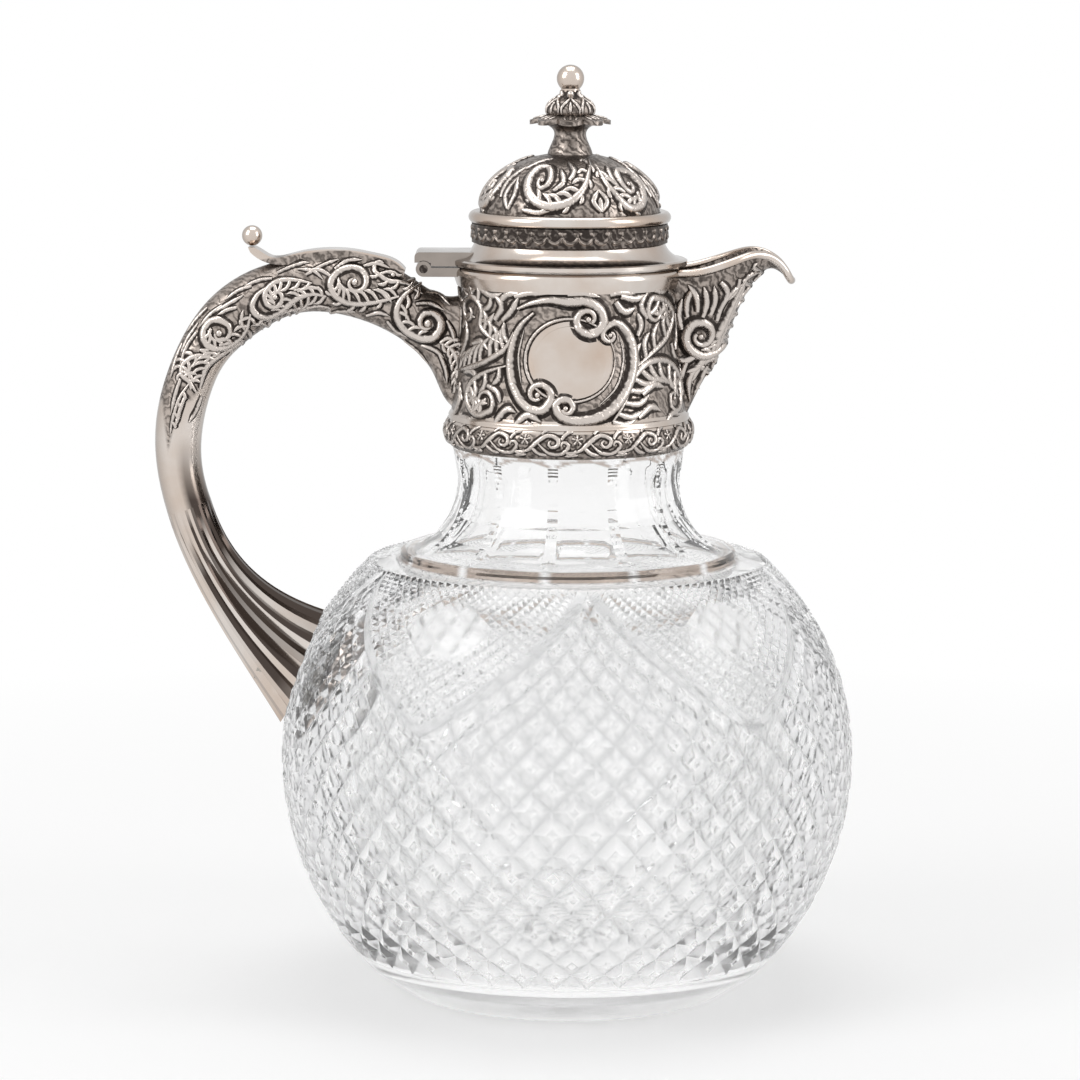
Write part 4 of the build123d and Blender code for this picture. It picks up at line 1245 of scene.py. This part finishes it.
def upper_handle(tree, axes):
    """The chased upper part, which ends in a tapering tongue."""
    slant = across_edge(tree, axes, -0.858, 0.514, 154.8)
    top = across_edge(tree, axes, 1.0, 0.0, -82.0)
    above = across_edge(tree, axes, 0.0, 1.0, 146.5)
    inner_line = across_edge(tree, axes, -1.0, 0.2545, 132.66, 0.4)
    outer_line = across_edge(tree, axes, 1.0, 0.118, -82.6, 0.4)
    upper = combined(tree, "MULTIPLY", combined(tree, "MAXIMUM", slant, top), above)
    return combined(tree, "MAXIMUM", upper, combined(tree, "MULTIPLY", inner_line, outer_line))


def painted_shade_in_grip(tree, axes):
    """Painted shade on the lower handle: the sides and flutes that face up and towards the glass are darkened by which
    way they face.
    """
    inwards = scaled(tree, facing(tree, (0.8, 0, 0.6)), -0.06, 0.24, 0, 1)
    return combined(tree, "MULTIPLY", inwards, scaled(tree, axes["Z"], 138 * MM, 122 * MM, 0, 1))


def under_the_strap(tree, axes):
    """The side of the strap below its thin polished edge is chased like the handle that it lies on."""
    below = across_edge(tree, axes, 0.0, -1.0, -183.4, 0.15)
    for along_x, edge in ((0.14, -191.7), (-0.225, -171.2), (-0.8, -146.4)):
        below = combined(tree, "MULTIPLY", below, across_edge(tree, axes, along_x, -1.0, edge, 0.15))
    return below


def round_the_cartouche(tree, axes):
    """The collar is chased outside, except on the cartouche, and plain inside."""
    side_view = shade(tree, "CombineXYZ", {"X": axes["X"], "Z": axes["Z"]})[0]
    middle = (0.1 * MM, 0, 159.2 * MM)
    away = shade(tree, "VectorMath", [side_view, middle], operation="DISTANCE")["Value"]
    outwards = facing(tree, shade(tree, "CombineXYZ", {"X": axes["X"], "Y": axes["Y"]})[0])
    beyond = scaled(tree, away, 10.0 * MM, 10.4 * MM, 0, 1)
    return combined(tree, "MULTIPLY", beyond, combined(tree, "GREATER_THAN", outwards, 0.0))


# %% Silver that is chased in part
def part_chased_silver(name, chased_part, painted_shade_part=None):
    """Tarnished ground where the mask is one, plain polish where it is zero, and painted shade where the shade mask is
    one.
    """
    material, tree, shader = new_material(name)
    aged = place_group(tree, tarnish_and_shade_group, Bright=silver_warm, Dark=tarnish_and_shade_dark, Height=0.5)
    plain = place_group(tree, polish_group, Bright=silver_light, Worn=silver_rosy)
    axes = shade(tree, "SeparateXYZ", [object_place(tree)])
    mask = chased_part(tree, axes)
    colour = plain["Colour"]
    # painted shade on the part that the shade mask picks
    if painted_shade_part:
        colour = mixed_colour(tree, painted_shade_part(tree, axes), colour, silver_painted_shade)
    colour = mixed_colour(tree, mask, colour, aged["Colour"])
    roughness = shade(tree, "Mix", {"Factor": mask, "A": plain["Roughness"], "B": aged["Roughness"]})["Result"]
    relief = combined(tree, "MULTIPLY", mask, aged["Stipple"])
    finish_silver(tree, shader, colour, roughness, relief, *chased_relief)
    return material


handle_silver = part_chased_silver("handle silver", upper_handle, painted_shade_in_grip)
strap_silver = part_chased_silver("strap silver", under_the_strap)
collar_silver = part_chased_silver("collar silver", round_the_cartouche)

# %% Paint the frame's own pieces
for nodes, material in (
    (("collar_rim", "spout_edge", "thumb_ball", "lid_base", "lid_bead", "lid_bezel"), polished),
    (("finial_ball", "finial_stud", "finial_nut"), polished),
    (("collar_base_ring", "spout", "lid_dome", "finial_stem", "finial_leaf_disc", "finial_leaf_cup"), ground),
    (("lid_border_band", "hinge_pin"), dark_ground),
    (("hinge_lug", "hinge_leaf"), hinge_silver),
    (("neck_cement", "handle_cement"), plaster),
    (("handle",), handle_silver),
    (("thumb_strap",), strap_silver),
    (("collar_wall",), collar_silver),
):
    for node in nodes:
        paint(bpy.data.objects[node], material)
    print(material.name, "on", *nodes)

# %% [markdown]
# ## Studio
# A plain pale floor, a white backdrop that the camera, the silver and the glass see, and soft lamps. The
# camera sees the floor's own shadow near the jug and plain white farther out.

# %% Floor
room_light = 0.45


def seen_by(tree, kind, *others):
    """One for the rays of these kinds, zero for the others."""
    rays = tree.nodes.new("ShaderNodeLightPath").outputs
    seen = rays[f"Is {kind} Ray"]
    for other in others:
        seen = combined(tree, "ADD", seen, rays[f"Is {other} Ray"])
    return seen


clear_selection()
bpy.ops.mesh.primitive_plane_add(size=6, location=(0, 0, 0))
floor = bpy.context.object
floor.name = "floor"
floor_material, tree, shader = new_material("pale floor")
feed(tree, shader, {"Base Color": (0.93, 0.93, 0.93, 1), "Roughness": 0.9})
reach = shade(tree, "VectorMath", [object_place(tree)], operation="LENGTH")["Value"]
in_camera = combined(tree, "MULTIPLY", seen_by(tree, "Camera"), scaled(tree, reach, 0.1, 0.45, room_light, 1.0))
white = combined(tree, "ADD", in_camera, seen_by(tree, "Glossy", "Transmission"))
blend = shade(tree, "MixShader", [white, shader.outputs[0], shade(tree, "Emission")[0]])
feed(tree, tree.nodes["Material Output"], {"Surface": blend[0]})
floor.data.materials.append(floor_material)

# %% Backdrop
world = bpy.data.worlds.new("white backdrop")
bpy.context.scene.world = world
world.use_nodes = True
sky = world.node_tree
strength = scaled(sky, seen_by(sky, "Camera", "Glossy", "Transmission"), 0, 1, room_light, 1.0)
feed(sky, sky.nodes["Background"], {"Color": (1, 1, 1, 1), "Strength": strength})


# %% Lamps
def soft_lamp(name, place, aim, width, height, power):
    data = bpy.data.lights.new(name, "AREA")
    data.shape = "RECTANGLE"
    data.size = width
    data.size_y = height
    data.energy = power
    lamp = bpy.data.objects.new(name, data)
    bpy.context.collection.objects.link(lamp)
    lamp.location = place
    lamp.rotation_euler = (Vector(aim) - Vector(place)).to_track_quat("-Z", "Y").to_euler()


soft_lamp("left window", (-0.8, -0.5, 0.7), (0, 0, 0.12), 0.5, 0.8, 4)
soft_lamp("right window", (0.9, -0.4, 0.5), (0, 0, 0.12), 0.4, 0.8, 3)
soft_lamp("top softbox", (0, 0.1, 1.1), (0, 0, 0.1), 0.7, 0.7, 4)

# %% Camera
camera_data = bpy.data.cameras.new("photograph view")
camera_data.sensor_width = 36
camera_data.lens = 136.4
camera = bpy.data.objects.new("photograph view", camera_data)
bpy.context.collection.objects.link(camera)
camera.location = (-0.00694, -1.0026, 0.2632)
pitch = math.radians(8.6)
roll = math.radians(0.25)
camera.rotation_euler = (Matrix.Rotation(math.pi / 2 - pitch, 4, "X") @ Matrix.Rotation(roll, 4, "Z")).to_euler()
bpy.context.scene.camera = camera
bpy.context.scene.view_settings.view_transform = "Standard"
